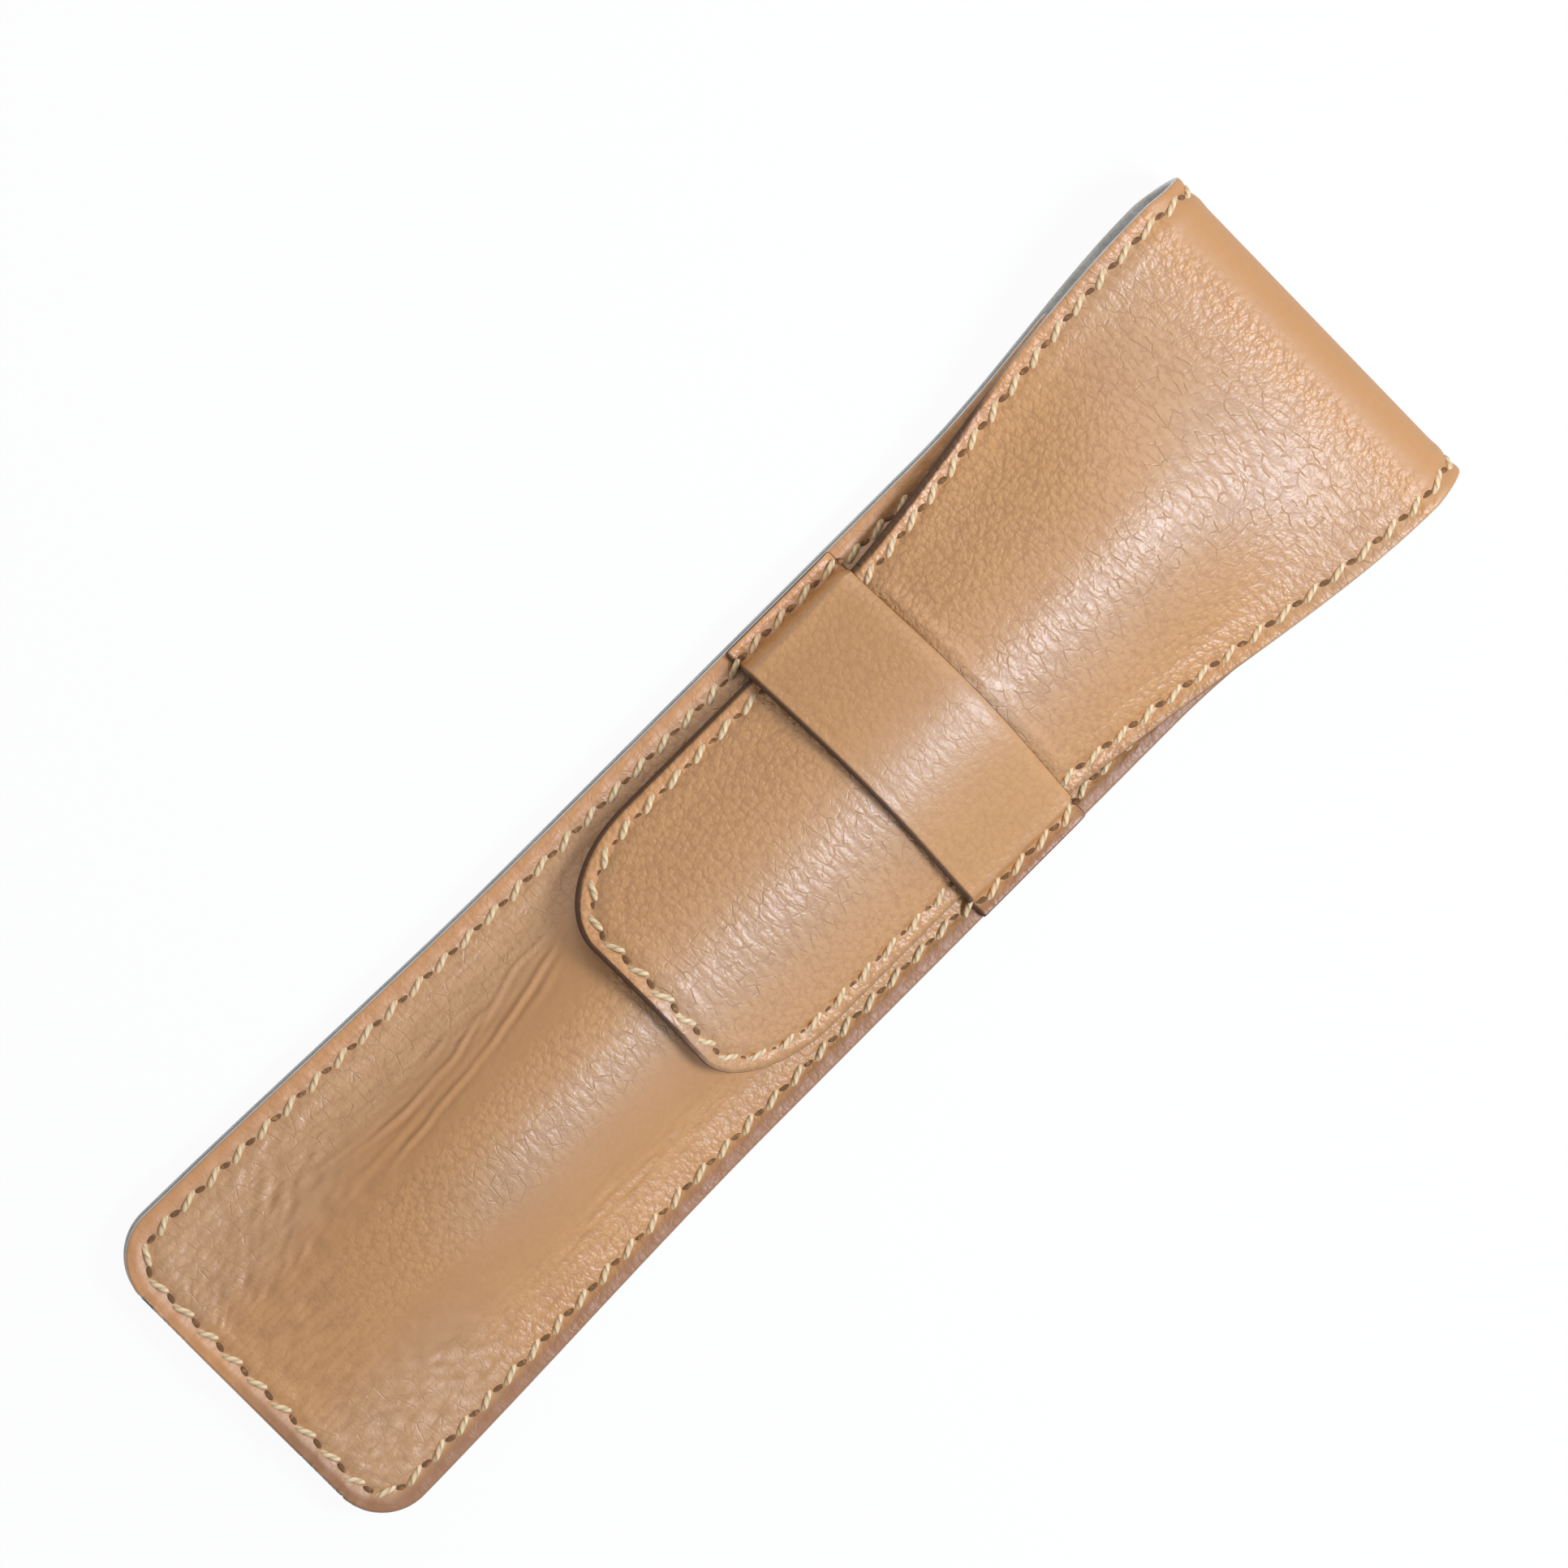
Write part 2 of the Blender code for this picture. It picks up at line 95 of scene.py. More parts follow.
# Where a sheet bends from one body to the next
ROLL_BEND_REACH = 4.2 * MM
TONGUE_BEND_REACH = 17 * MM
LOWER_BEND = ((0, FOLD_Y, LEATHER / 2), (0, FOLD_Y + ROLL_BEND_REACH, ROLL_RADIUS))
UPPER_BEND = ((0, FOLD_Y + ROLL_BEND_REACH, ROLL_RADIUS), (0, FOLD_Y, 2 * ROLL_RADIUS - LEATHER / 2))
TONGUE_BEND = ((0, TONGUE_ROOT_Y, 0), (0, TONGUE_ROOT_Y - TONGUE_BEND_REACH, 0))

# How finely the sheets are made: across them, along them, along a seam and round their walls
LEATHER_STEP = 0.38 * MM
FRONT_STEP = 0.46 * MM
BACK_STEP = 0.8 * MM
LINING_STEP = 1.1 * MM
SEAM_ZONE = 4.2 * MM
FINE_STEP = 0.26 * MM
CREASE_STEP = 0.16 * MM
BAND_STEP = 0.13 * MM
ROW_STEP = 0.42 * MM
FRONT_ROW_STEP = 0.52 * MM
BAND_ROW_STEP = 0.3 * MM
CORNER_TURN = 0.075
PATH_STEP = 0.15 * MM
WALL_STEPS = 6
DENSITY_PLACES = 2001
FOOT_TRIES = 8
SLOPE_PROBE = 0.1 * MM

# How the sheets are cut and sewn
LEATHER_ROUNDING = 0.3 * MM
LINING_ROUNDING = 0.1 * MM
LINING_INSET = 0.9 * MM
BACK_PRESS = 1.9
BACK_SLANT = math.radians(-9)
PLY_LENGTH = 1.15 * MM
PROUD_STITCH = {"Thread Rise": 0.14 * MM, "Thread Sink": 0.3 * MM, "Hole Depth": 0.12 * MM,
                "Scatter": 0.07}
LEVEL_STITCH = {"Thread Rise": 0.0, "Thread Sink": 0.3 * MM, "Hole Depth": 0.12 * MM, "Scatter": 0.05}
INNER_STITCH = {"Thread Rise": 0.02 * MM, "Thread Sink": 0.2 * MM, "Hole Depth": 0.06 * MM,
                "Thread Diameter": 0.3 * MM}
FRONT_SEED, BACK_SEED, FLAP_SEED = 3, 5, 7

# How the band lies and is sewn down: from the tongue to where it steps down, the gap under its ends,
# and over what length inside and outside its edges the seam moves out
SHOULDER_GAP = 0.15 * MM
BAND_SEAT_GAP = 0.05 * MM
BOW_INSIDE = 0.8 * MM
BOW_OUTSIDE = 1.4 * MM

# How much wider the bulge gets with a sheet's offset, and the share of it that rises soon
SPREAD = 0.45
SOON_SHARE = 0.45

# How a seam shapes the leather: its groove, the swelling inside it and its needle holes
GROOVE_WIDTH = 0.62 * MM
SWELL_HEIGHT, SWELL_PLACE, SWELL_WIDTH = 0.09 * MM, 1.7 * MM, 0.8 * MM
HOLE_DIP, HOLE_REACH = 0.2 * MM, 2 * MM
MARGIN_HEIGHT, MARGIN_PLACE = 0.13 * MM, 1.05 * MM
MARGIN_LENGTH, MARGIN_WIDTH = 1.1 * MM, 0.55 * MM

# Where hide patterns start on the front and on the band, so that no two sheets look alike
FRONT_HIDE_START = 400 * MM
BAND_HIDE_START = -600 * MM

# Long creases beside the bulge: points (x, y) in mm, height and half width in mm
CREASES = (
    (((-11.3, -21.0), (-10.9, -22.8), (-9.7, -28.6), (-9.1, -32.3), (-8.4, -35.6), (-8.1, -39.7),
      (-7.6, -44.8), (-6.9, -51.1), (-6.4, -54)), 0.18, 0.23),
    (((-12.3, -21.5), (-12.1, -26.8), (-11.6, -30.3), (-10.7, -33.7), (-9.9, -36.6),
      (-9.3, -39.5)), 0.14, 0.22),
    (((-11.2, -33), (-10.8, -36.5), (-10.0, -39.6), (-9.8, -43.1), (-9.6, -45.9), (-9.8, -49.1),
      (-10.2, -51.4), (-10.3, -54.8), (-10.9, -58)), 0.17, 0.23),
    (((-12.4, -36), (-11.8, -40.5), (-11.7, -46)), 0.11, 0.26),
    (((-8.7, -45), (-8.2, -49), (-8.2, -54), (-7.9, -58)), 0.09, 0.28),
    (((-9.6, -23.5), (-8.6, -28), (-7.6, -33)), 0.09, 0.28),
    (((11.2, -22.6), (10.9, -26.9), (11.4, -31), (11.3, -37)), 0.08, 0.28),
    (((12.6, -27), (12.1, -33.2), (11.9, -38.5), (12.2, -44)), 0.10, 0.28),
    (((13.5, -31), (13.1, -38), (13.1, -46), (12.7, -52)), 0.09, 0.28),
)
CREASE_POINTS = 80
CREASE_EASE = 6

# The floor, the world, the camera and each lamp: direction, distance, size, watts and colour
FLOOR_HALF_SIZE = 3.0
FLOOR_Z = -0.04 * MM
FLOOR_WHITE_SHARE = 0.94
WORLD_COLOUR = (0.93, 0.95, 0.97)
WORLD_STRENGTH = 0.36
CAMERA_DIRECTION = (-0.13, -0.06, 1)
CAMERA_HEIGHT = 3 * MM
CAMERA_RISE, CAMERA_SHIFT = 8.1 * MM, 0.47 * MM
VIEW_SIZE = 165 * MM
LENS, SENSOR = 200, 36
LAMPS = {
    "key_light": ((0.175, 0.16, 0.349), 0.427, 0.14, 1.3, (0.88, 0.98, 1.16)),
    "fill_light": ((-0.5, 0.5, 0.47), 0.36, 0.2, 0.25, (1.0, 0.97, 0.93)),
}


def millimetres(*values):
    """Lengths in mm, in Blender's units."""
    return tuple(value * MM for value in values)


# Zones of the pocket's front, each from where it starts and is full to where it fades and ends:
# reaches out from the middle, and heights above the bottom
WRINKLED_BESIDE = millimetres(7.5, 11, 15.5, 19)
DRAWN_BESIDE = millimetres(8, 11.5, 15, 18)
SMOOTH_FLANK = millimetres(3.5, 6.5, 10, 13.5)
WRINKLED_BELOW = (BOTTOM_Y + 2.5 * MM, BOTTOM_Y + 5 * MM, -60 * MM, -48 * MM)
LEFT_CREASES = millimetres(-12.8, -6)
RIGHT_CREASES = millimetres(10.3, 14.2)

# Ridges and grooves along an edge: how high, how far from the edge and how wide
MOUTH_GROOVE = millimetres(0.1, 2, 0.4)
BAND_GROOVE = millimetres(0.05, 1.4, 0.35)
BAND_PARING = millimetres(0.45, 0, 0.8)
PUSHED_UP = millimetres(0.3, 1.1, 0.9)

# Slopes of the burnishing, kept to the left side as painted light, and of the painted shade at the right
# edge, from where each begins to where it is full: inward from the edge, and across the case
LIGHT_BURNISH = millimetres(1.9, 1.2)
RIGHT_EDGE_SHADE = millimetres(2.1, 1)
FLAP_BURNISH = millimetres(1.7, 1)
TOWARD_LIT_LEFT = millimetres(6, -6)
TOWARD_SHADED_RIGHT = millimetres(-6, 8)


# Sizes and colours that a user may change


def length_property(name, description, length):
    """A length that a user may change, given in mm and kept in Blender's units."""
    return bpy.props.FloatProperty(
        name=name, description=description, default=length * MM, min=0, unit="LENGTH", precision=5)


def colour_property(name, description, default):
    """A colour that a user may change, as linear red, green and blue."""
    return bpy.props.FloatVectorProperty(
        name=name, description=description, default=default, min=0, max=1, size=3,
        subtype="COLOR")


class PenCaseShape(bpy.types.PropertyGroup):
    """The outline of the case and its bulge."""

    waist_width: length_property("Waist Width", "Width of the case at its middle", 39.3)
    bottom_width: length_property("Bottom Width", "Width of the case above its bottom corners", 42)
    bottom_corner: length_property("Bottom Corner", "Radius of the two bottom corners", 6.3)
    bottom_flare: length_property("Bottom Flare", "Length over which the bottom widens", 60)
    fold_flare: length_property("Fold Flare", "Length over which the case widens to the fold", 35.5)
    fold_tuck: length_property("Fold Tuck", "How far the ends of the fold draw in", 0.5)
    crown_rise: length_property("Crown Rise", "Height of the bulge above the flat margins", 8.5)
    seam_margin: length_property("Seam Margin", "Flat margin beside the bulge", 4.2)
    bottom_fade: length_property("Bottom Fade", "Length over which the bulge rises", 38)
    fold_fade: length_property("Fold Fade", "Length over which the bulge sinks to the fold", 28)
    tongue_width: length_property("Tongue Width", "Width of the tongue", 32.1)
    corner_width: length_property("Corner Width", "Width of the tongue's rounded corners", 8)
    corner_length: length_property("Corner Length", "Length of the tongue's rounded corners", 13)
    taper_start: length_property("Taper Start", "From the fold to where the flap narrows", 5)
    taper_length: length_property("Taper Length", "Length over which the flap narrows", 60)
    edge_lift: length_property("Edge Lift", "How far the flap's edges clear the seam", 0.4)
    edge_lift_length: length_property("Edge Lift Length", "Length over which they rise", 8)
    side_lift_length: length_property("Side Lift Length", "Length of the rise to the fold", 30)
    band_rest: length_property("Band Rest", "Underside of the band above the pocket", 4.2)
    band_thickness: length_property("Band Thickness", "Leather of the band", 1.2)
    band_sag: length_property("Band Sag", "How far the band lies down on the tongue", 0.2)
    band_bow: length_property("Band Bow", "How far the seam moves out on the band", 0.65)


class PenCaseStitching(bpy.types.PropertyGroup):
    """The saddle stitching."""

    case_inset: length_property("Case Inset", "From the edge of the case to its seam", 2.2)
    flap_inset: length_property("Flap Inset", "From the edge of the flap to its seam", 1.75)
    pitch: length_property("Pitch", "From one needle hole to the next", 3.6)
    seam_to_fold: length_property("Seam to Fold", "From the roll to the first stitch", 3)
    stitch: length_property("Stitch Length", "Length of thread that shows", 2.6)
    thread: length_property("Thread Diameter", "Thickness of the waxed thread", 0.65)
    hole_length: length_property("Hole Length", "Length of a needle hole", 1.25)
    hole_width: length_property("Hole Width", "Width of a needle hole", 0.6)
    press: length_property("Press", "How far the thread pulls the leather in", 0.24)
    slant: bpy.props.FloatProperty(
        name="Slant", description="Turn of a stitch against its seam",
        default=math.radians(24), subtype="ANGLE")
    hole_slant: bpy.props.FloatProperty(
        name="Hole Slant", description="Turn of a needle hole against its seam",
        default=math.radians(-14), subtype="ANGLE")


class PenCaseColours(bpy.types.PropertyGroup):
    """The colours of the leather, lining and thread."""

    leather: colour_property("Leather", "Tan leather", (0.63, 0.308, 0.105))
    # Also painted in as shade: in the grain's crevices and along the right edge of the case.
    leather_deep: colour_property("Deep Leather", "Tan leather in its crevices", (0.33, 0.135, 0.045))
    # Painted sheen besides wear: laid where the hide is wrinkled across, along the highlight on the crown
    # and on the pale sides.
    rubbed_and_sheen: colour_property("Rubbed Crown", "Leather rubbed pale along the crown", (0.54, 0.41, 0.315))
    # Laid on the left side only, so it is partly painted light.
    burnished: colour_property("Burnished", "Tan leather outside a seam", (0.70, 0.31, 0.10))
    band: colour_property("Band", "Smooth leather of the band", (0.6, 0.295, 0.1))
    lining: colour_property("Lining", "Grey lining", (0.17, 0.21, 0.235))
    raw_edge: colour_property("Raw Edge", "Cut edge of the case", (0.79, 0.76, 0.71))
    # Also painted as the shadow of the gap beside the flap and tongue, and under the band's lower edge.
    dark_edge: colour_property("Dark Edge", "Dyed edge of the flap", (0.06, 0.026, 0.014))
    thread: colour_property("Thread", "Cream thread", (0.9, 0.67, 0.39))
    hole: colour_property("Hole", "Shadow inside a needle hole", (0.18, 0.088, 0.035))
    floor: colour_property("Floor", "Pale floor", (0.9, 0.9, 0.9))
    grain_size: length_property("Grain Size", "Width of a pebble of the leather's grain", 0.85)


def shape():
    """The case's sizes."""
    return bpy.context.scene.pen_case_shape


def stitching():
    """The sizes of the stitching."""
    return bpy.context.scene.pen_case_stitching


def colours():
    """The case's colours."""
    return bpy.context.scene.pen_case_colours


# The form of the case


def smooth_step(start, end, at):
    """0 up to start and 1 from end on, with an even S between them."""
    share = np.clip((at - start) / (end - start), 0, 1)
    return share * share * (3 - 2 * share)


def hump(centre, width, at):
    """1 at centre, falling away to both sides."""
    return np.exp(-(((at - centre) / width) ** 2))


def ridge(form, at):
    """A ridge of a height at a place, with a width."""
    height, centre, width = form
    return height * hump(centre, width, at)


def within(zone, at):
    """1 inside a zone and 0 outside it, with an even S at both its ends."""
    start, full, fade, end = zone
    return smooth_step(start, full, at) * smooth_step(end, fade, at)


def averaged(values, count):
    """Values in a row, each averaged with a count of them on both sides."""
    padded = np.pad(values, count, mode="edge")
    return np.convolve(padded, np.ones(2 * count + 1) / (2 * count + 1), mode="valid")


class Outline:
    """A strip that runs up to the fold from an end with two rounded corners. Past the fold it runs
    on over the roll, where y is a length along the leather."""

    def __init__(self, side, end_y, width, length):
        self.side, self.end_y, self.width, self.length = side, end_y, width, length
        self.low_y = end_y + length
        self.centre_x = side(self.low_y) - width

    def half_width(self, y, inset=0.0):
        """Half the width at y, set in all round."""
        width, length = self.width - inset, self.length - inset
        into = np.clip((y - self.end_y - inset) / length, 0, 1)
        return self.side(y) - inset - width * (1 - np.sqrt(1 - (1 - into) ** 2))

    def depth(self, x, y):
        """How far (x, y) lies inside the outline."""
        across, along = (np.abs(x) - self.centre_x) / self.width, (self.low_y - y) / self.length
        reach = np.maximum(np.hypot(across, along), 0.001)
        corner = (1 - reach) * reach / np.hypot(across / self.width, along / self.length)
        straight = np.minimum(self.side(y) - np.abs(x), y - self.end_y)
        return np.where((across > 0) & (along > 0), corner, straight)

    def path(self, inset):
        """Close points along the outline, set in: down its left, round its end and up its right."""
        side_y = np.arange(ROLL_TOP, self.low_y, -PATH_STEP)
        left = np.stack([-self.half_width(side_y, inset), side_y], axis=1)
        width, length = self.width - inset, self.length - inset
        turn = np.linspace(0, math.pi / 2, int(length * 2 / PATH_STEP))
        corner_x = -self.centre_x - width * np.cos(turn)
        corner = np.stack([corner_x, self.low_y - length * np.sin(turn)], axis=1)
        half = np.concatenate([left, corner])
        return np.concatenate([half, half[::-1] * [-1, 1]])


def roll_turn(y):
    """How far the leather has turned round the roll at y, from none at the fold."""
    return np.clip((y - FOLD_Y) / ROLL_RADIUS, 0, math.pi / 2)


def case_side(y):
    """Half the width of the case at y, before its corners are rounded."""
    s = shape()
    low = (s.bottom_width - s.waist_width) * smooth_step(BOTTOM_Y + s.bottom_flare, BOTTOM_Y, y)
    high = (FOLD_WIDTH - s.waist_width) * smooth_step(FOLD_Y - s.fold_flare, FOLD_Y, y)
    return (s.waist_width + low + high) / 2 - s.fold_tuck * np.sin(roll_turn(y))


def flap_side(y):
    """Half the width of the flap at y, before its tongue's corners are rounded."""
    s = shape()
    start = FOLD_Y + ROLL_RADIUS - s.taper_start
    taper = (FOLD_WIDTH - s.tongue_width) * smooth_step(start - s.taper_length, start, y)
    return (s.tongue_width + taper) / 2 - s.fold_tuck * np.sin(roll_turn(y))


def case_outline():
    """The outline of the case."""
    return Outline(case_side, BOTTOM_Y, shape().bottom_corner, shape().bottom_corner)


def flap_outline():
    """The outline of the flap and its tongue."""
    return Outline(flap_side, TONGUE_END_Y, shape().corner_width, shape().corner_length)


def crown_rise(y):
    """How far the middle of the bulge stands above the flat margins at y."""
    s = shape()
    bottom = BOTTOM_Y + s.seam_margin
    rise = np.clip((y - bottom) / s.bottom_fade, 0, 1)
    filled = rise * (SOON_SHARE * (2 - rise) + (1 - SOON_SHARE) * rise * (3 - 2 * rise))
    toward_fold = smooth_step(FOLD_Y - s.fold_fade, FOLD_Y, y)
    return filled * (s.crown_rise + (FOLD_RISE - s.crown_rise) * toward_fold)


def flap_lift(y):
    """How far the flap's edges stand off the pocket: over the seam, then up to the fold."""
    s = shape()
    over_seam = s.edge_lift * smooth_step(TONGUE_ROOT_Y, TONGUE_ROOT_Y + s.edge_lift_length, y)
    to_fold = (FOLD_RISE - s.edge_lift) * smooth_step(FOLD_Y - s.side_lift_length, FOLD_Y, y)
    return over_seam + to_fold


def no_lift(y):
    """Nothing all along, as where the pocket's front lies flat on its margins."""
    return 0 * y


def dome_height(x, y, offset, lift):
    """The height of the bulged front at (x, y); sheets further out spread a little wider."""
    inner = case_side(y) - shape().seam_margin + SPREAD * offset
    dome = np.cos(math.pi / 2 * np.minimum(np.abs(x) / inner, 1)) ** 2
    return POCKET_FLOOR_Z + lift(y) + (crown_rise(y) - lift(y)) * dome


def dome_normal(x, y, offset, lift):
    """The direction square to the bulged front at (x, y)."""
    def height(at_x, at_y):
        return dome_height(at_x, at_y, offset, lift)

    slope_x = (height(x + SLOPE_PROBE, y) - height(x - SLOPE_PROBE, y)) / (2 * SLOPE_PROBE)
    slope_y = (height(x, y + SLOPE_PROBE) - height(x, y - SLOPE_PROBE)) / (2 * SLOPE_PROBE)
    normal = np.stack([-slope_x, -slope_y, np.ones_like(slope_x)], axis=-1)
    return normal / np.linalg.norm(normal, axis=-1, keepdims=True)


def dome_seat(x, y, offset, lift=no_lift):
    """The points over (x, y) at a distance offset above the bulged front."""
    foot_x, foot_y = x, y
    for _ in range(FOOT_TRIES):
        lean = np.asarray(offset)[..., None] * dome_normal(foot_x, foot_y, offset, lift)
        foot_x, foot_y = x - lean[..., 0], y - lean[..., 1]
    height = dome_height(foot_x, foot_y, offset, lift) + lean[..., 2]
    return np.stack([x, y, height], axis=-1)


def flap_seat(x, y, offset):
    """The points of the flap at a distance above the pocket, and on over the roll."""
    turn, radius = roll_turn(y), ROLL_RADIUS + offset - FLAP_TOP_OFFSET
    flat = dome_seat(x, np.minimum(y, FOLD_Y), offset, flap_lift)
    rolled_y, rolled_z = FOLD_Y + radius * np.sin(turn), ROLL_RADIUS + radius * np.cos(turn)
    return np.where((y > FOLD_Y)[..., None], np.stack([x, rolled_y, rolled_z], axis=-1), flat)


def flap_normal(x, y, offset):
    """The direction out of the flap's outer face."""
    flat = dome_normal(x, np.minimum(y, FOLD_Y), offset, flap_lift)
    rolled = np.stack([0 * x, np.sin(roll_turn(y)), np.cos(roll_turn(y))], axis=-1)
    return np.where((y > FOLD_Y)[..., None], rolled, flat)


def back_seat(x, y, height):
    """The points of the back at a height above the table, and on under the roll."""
    turn, radius = roll_turn(y), ROLL_RADIUS - height
    rolled_y = np.minimum(y, FOLD_Y) + radius * np.sin(turn)
    return np.stack([x, rolled_y, ROLL_RADIUS - radius * np.cos(turn)], axis=-1)


def back_normal(x, y):
    """The direction out of the back's outer face."""
    return np.stack([0 * x, np.sin(roll_turn(y)), -np.cos(roll_turn(y))], axis=-1)


def band_bow(y):
    """How far the case's seam moves out where it runs over the band."""
    zone = (BAND_LOW.y - BOW_OUTSIDE, BAND_LOW.y + BOW_INSIDE,
            BAND_HIGH.y - BOW_INSIDE, BAND_HIGH.y + BOW_OUTSIDE)
    return shape().band_bow * within(zone, y)


def band_offsets(x, y):
    """The band's underside and top above the pocket: it lies on the tongue, steps down beside it
    and is pared to about half its thickness where it is sewn down."""
    s = shape()
    reach = np.abs(x)
    shoulder = flap_side(y) + SHOULDER_GAP
    seam = case_side(y) - stitching().case_inset + s.band_bow
    drop = s.band_rest - FRONT_TOP_OFFSET - BAND_SEAT_GAP
    level = s.band_rest - s.band_sag * smooth_step(shoulder - 3 * MM, shoulder - 8.5 * MM, reach)
    pared = 1 - 0.45 * smooth_step(seam - 1.2 * MM, seam + 0.6 * MM, reach)
    under = level - drop * smooth_step(shoulder, seam - 0.9 * MM, reach)
    top = level - drop * smooth_step(shoulder + 0.3 * MM, seam - 0.35 * MM, reach)
    return under, top + s.band_thickness * pared


# The seams


class Seam:
    """Evenly spaced needle holes round an outline, from one end of the roll to the other."""

    def __init__(self, outline, inset, bow=no_lift):
        self.outline, self.inset, self.bow = outline, inset, bow
        self.points = outline.path(inset)
        self.points[:, 0] += np.sign(self.points[:, 0]) * bow(self.points[:, 1])
        steps = np.linalg.norm(np.diff(self.points, axis=0), axis=1)
        self.run = np.concatenate([[0], np.cumsum(steps)])
        self.count = round(self.run[-1] / stitching().pitch)
        self.pitch = self.run[-1] / self.count
        self.holes = np.arange(self.count + 1) * self.pitch

    def at(self, distance):
        """The points at these distances along the seam."""
        return np.stack([np.interp(distance, self.run, self.points[:, n]) for n in (0, 1)], axis=-1)

    def stretch(self, first, last):
        """Close points from one needle hole to another."""
        steps = int((last - first) * self.pitch / PATH_STEP)
        return self.at(np.linspace(first * self.pitch, last * self.pitch, steps + 1))

    def holes_above(self, y):
        """The numbers of the last needle hole above y on the left and of the first on the right."""
        above = np.nonzero(self.at(self.holes)[:, 1] > y)[0]
        half = self.count / 2
        return int(above[above < half].max()), int(above[above > half].min())

    def relief(self, x, y, press=1.0, swell=1.0):
        """How far the thread and its holes pull the leather in, and how it swells beside them."""
        sewing = stitching()
        line = self.outline.depth(x, y) - self.inset + self.bow(y)
        relief = -sewing.press * press * hump(0, GROOVE_WIDTH, line)
        relief += SWELL_HEIGHT * swell * hump(SWELL_PLACE, SWELL_WIDTH, line)
        centres = self.at(self.holes)
        ahead, behind = self.at(self.holes + PATH_STEP), self.at(self.holes - PATH_STEP)
        turns = np.arctan2(*(ahead - behind).T[::-1]) + sewing.hole_slant
        for (hole_x, hole_y), turn in zip(centres, turns):
            near = (np.abs(x - hole_x) < HOLE_REACH) & (np.abs(y - hole_y) < HOLE_REACH)
            off_x, off_y = x[near] - hole_x, y[near] - hole_y
            along = off_x * math.cos(turn) + off_y * math.sin(turn)
            across = off_y * math.cos(turn) - off_x * math.sin(turn)
            dip = hump(0, sewing.hole_length / 2, along) * hump(0, sewing.hole_width / 2, across)
            relief[near] -= HOLE_DIP * dip
        return relief + swell * self.margin_swell(x, y)

    def margin_swell(self, x, y):
        """How the edge swells outside the seam, between the needle holes that draw it in."""
        middles = (self.holes[1:] + self.holes[:-1]) / 2
        ahead = self.at(middles + PATH_STEP) - self.at(middles - PATH_STEP)
        ahead = ahead / np.linalg.norm(ahead, axis=1, keepdims=True)
        outward = np.stack([ahead[:, 1], -ahead[:, 0]], axis=1)
        swelling = np.zeros_like(x)
        for centre, along, out in zip(self.at(middles) + MARGIN_PLACE * outward, ahead, outward):
            off = np.stack([x - centre[0], y - centre[1]], axis=-1)
            lobe = hump(0, MARGIN_LENGTH, off @ along) * hump(0, MARGIN_WIDTH, off @ out)
            swelling += MARGIN_HEIGHT * lobe
        return swelling


def case_seam(bow=no_lift):
    """The seam round the case, which may move out over the band."""
    return Seam(case_outline(), stitching().case_inset, bow)


def flap_seam():
    """The seam round the flap and its tongue."""
    return Seam(flap_outline(), stitching().flap_inset)


# Wrinkles and creases


def wander(x, y, size_x, size_y, seed):
    """Soft noise over a sheet, from -1 to 1."""
    flat = zip((x / size_x).ravel(), (y / size_y).ravel())
    return np.array([noise.noise(Vector((a, b, seed))) for a, b in flat]).reshape(x.shape)


def crease_relief(x, y):
    """The long creases beside the bulge, as a height: each wanders a little, is stronger in places
    and stands between two shallow hollows."""
    relief = np.zeros_like(x)
    for points, height, width in CREASES:
        line = np.array(points[::-1]) * MM
        low_y, high_y = line[0, 1], line[-1, 1]
        fine_y = np.linspace(low_y, high_y, CREASE_POINTS)
        fine_x = averaged(np.interp(fine_y, line[:, 1], line[:, 0]), CREASE_EASE)
        strength = height * (1 + 0.6 * wander(0 * x, y, 5 * MM, 5 * MM, 60 * height))
        centre = np.interp(y, fine_y, fine_x) + 0.2 * MM * wander(x, y, 30 * MM, 3 * MM, height * 50)
        reach = smooth_step(low_y, low_y + 7 * MM, y) * smooth_step(high_y + MM, high_y - 4 * MM, y)
        off = (x - centre) / (width * MM)
        fold = hump(0, 1, off) - 0.7 * hump(2.2, 1.3, off) - 0.5 * hump(-2.2, 1.3, off)
        relief += strength * MM * reach * fold
    return relief


def body_wrinkles(x, y):
    """The soft wrinkles of the pocket's front: long ones beside its bulge, and below it a fan that
    leaves the foot of the bulge smooth."""
    reach = np.abs(x)
    beside = within(WRINKLED_BESIDE, reach) * smooth_step(-18 * MM, -30 * MM, y)
    off_foot = smooth_step(2 * MM, 7 * MM, np.abs(x - 2 * MM) + np.maximum(-66 * MM - y, 0))
    below = within(WRINKLED_BELOW, y) * off_foot * smooth_step(19 * MM, 16.5 * MM, reach)
    long_wave = wander(x + 0.15 * y * np.sign(x), y, 1.5 * MM, 9 * MM, 3.1)
    fan = x / (y - BOTTOM_Y + 5 * MM)
    fan_wave = wander(fan, y, 0.06, 4 * MM, 8.4) + 0.5 * wander(x, y, 1.1 * MM, 1.6 * MM, 2.2)
    return 0.3 * MM * (0.3 - np.abs(long_wave)) * beside + 0.44 * MM * (0.3 - np.abs(fan_wave)) * below


def slack(x, y, seed):
    """The slow unevenness of a soft hide, as a height."""
    return 0.05 * MM * wander(x, y, 9 * MM, 14 * MM, seed)


# Sheets of leather and lining as meshes


def steps_between(start, end, step):
    """Even places from start to end, about a step apart."""
    return np.linspace(start, end, max(int(round(abs(end - start) / step)), 1) + 1)


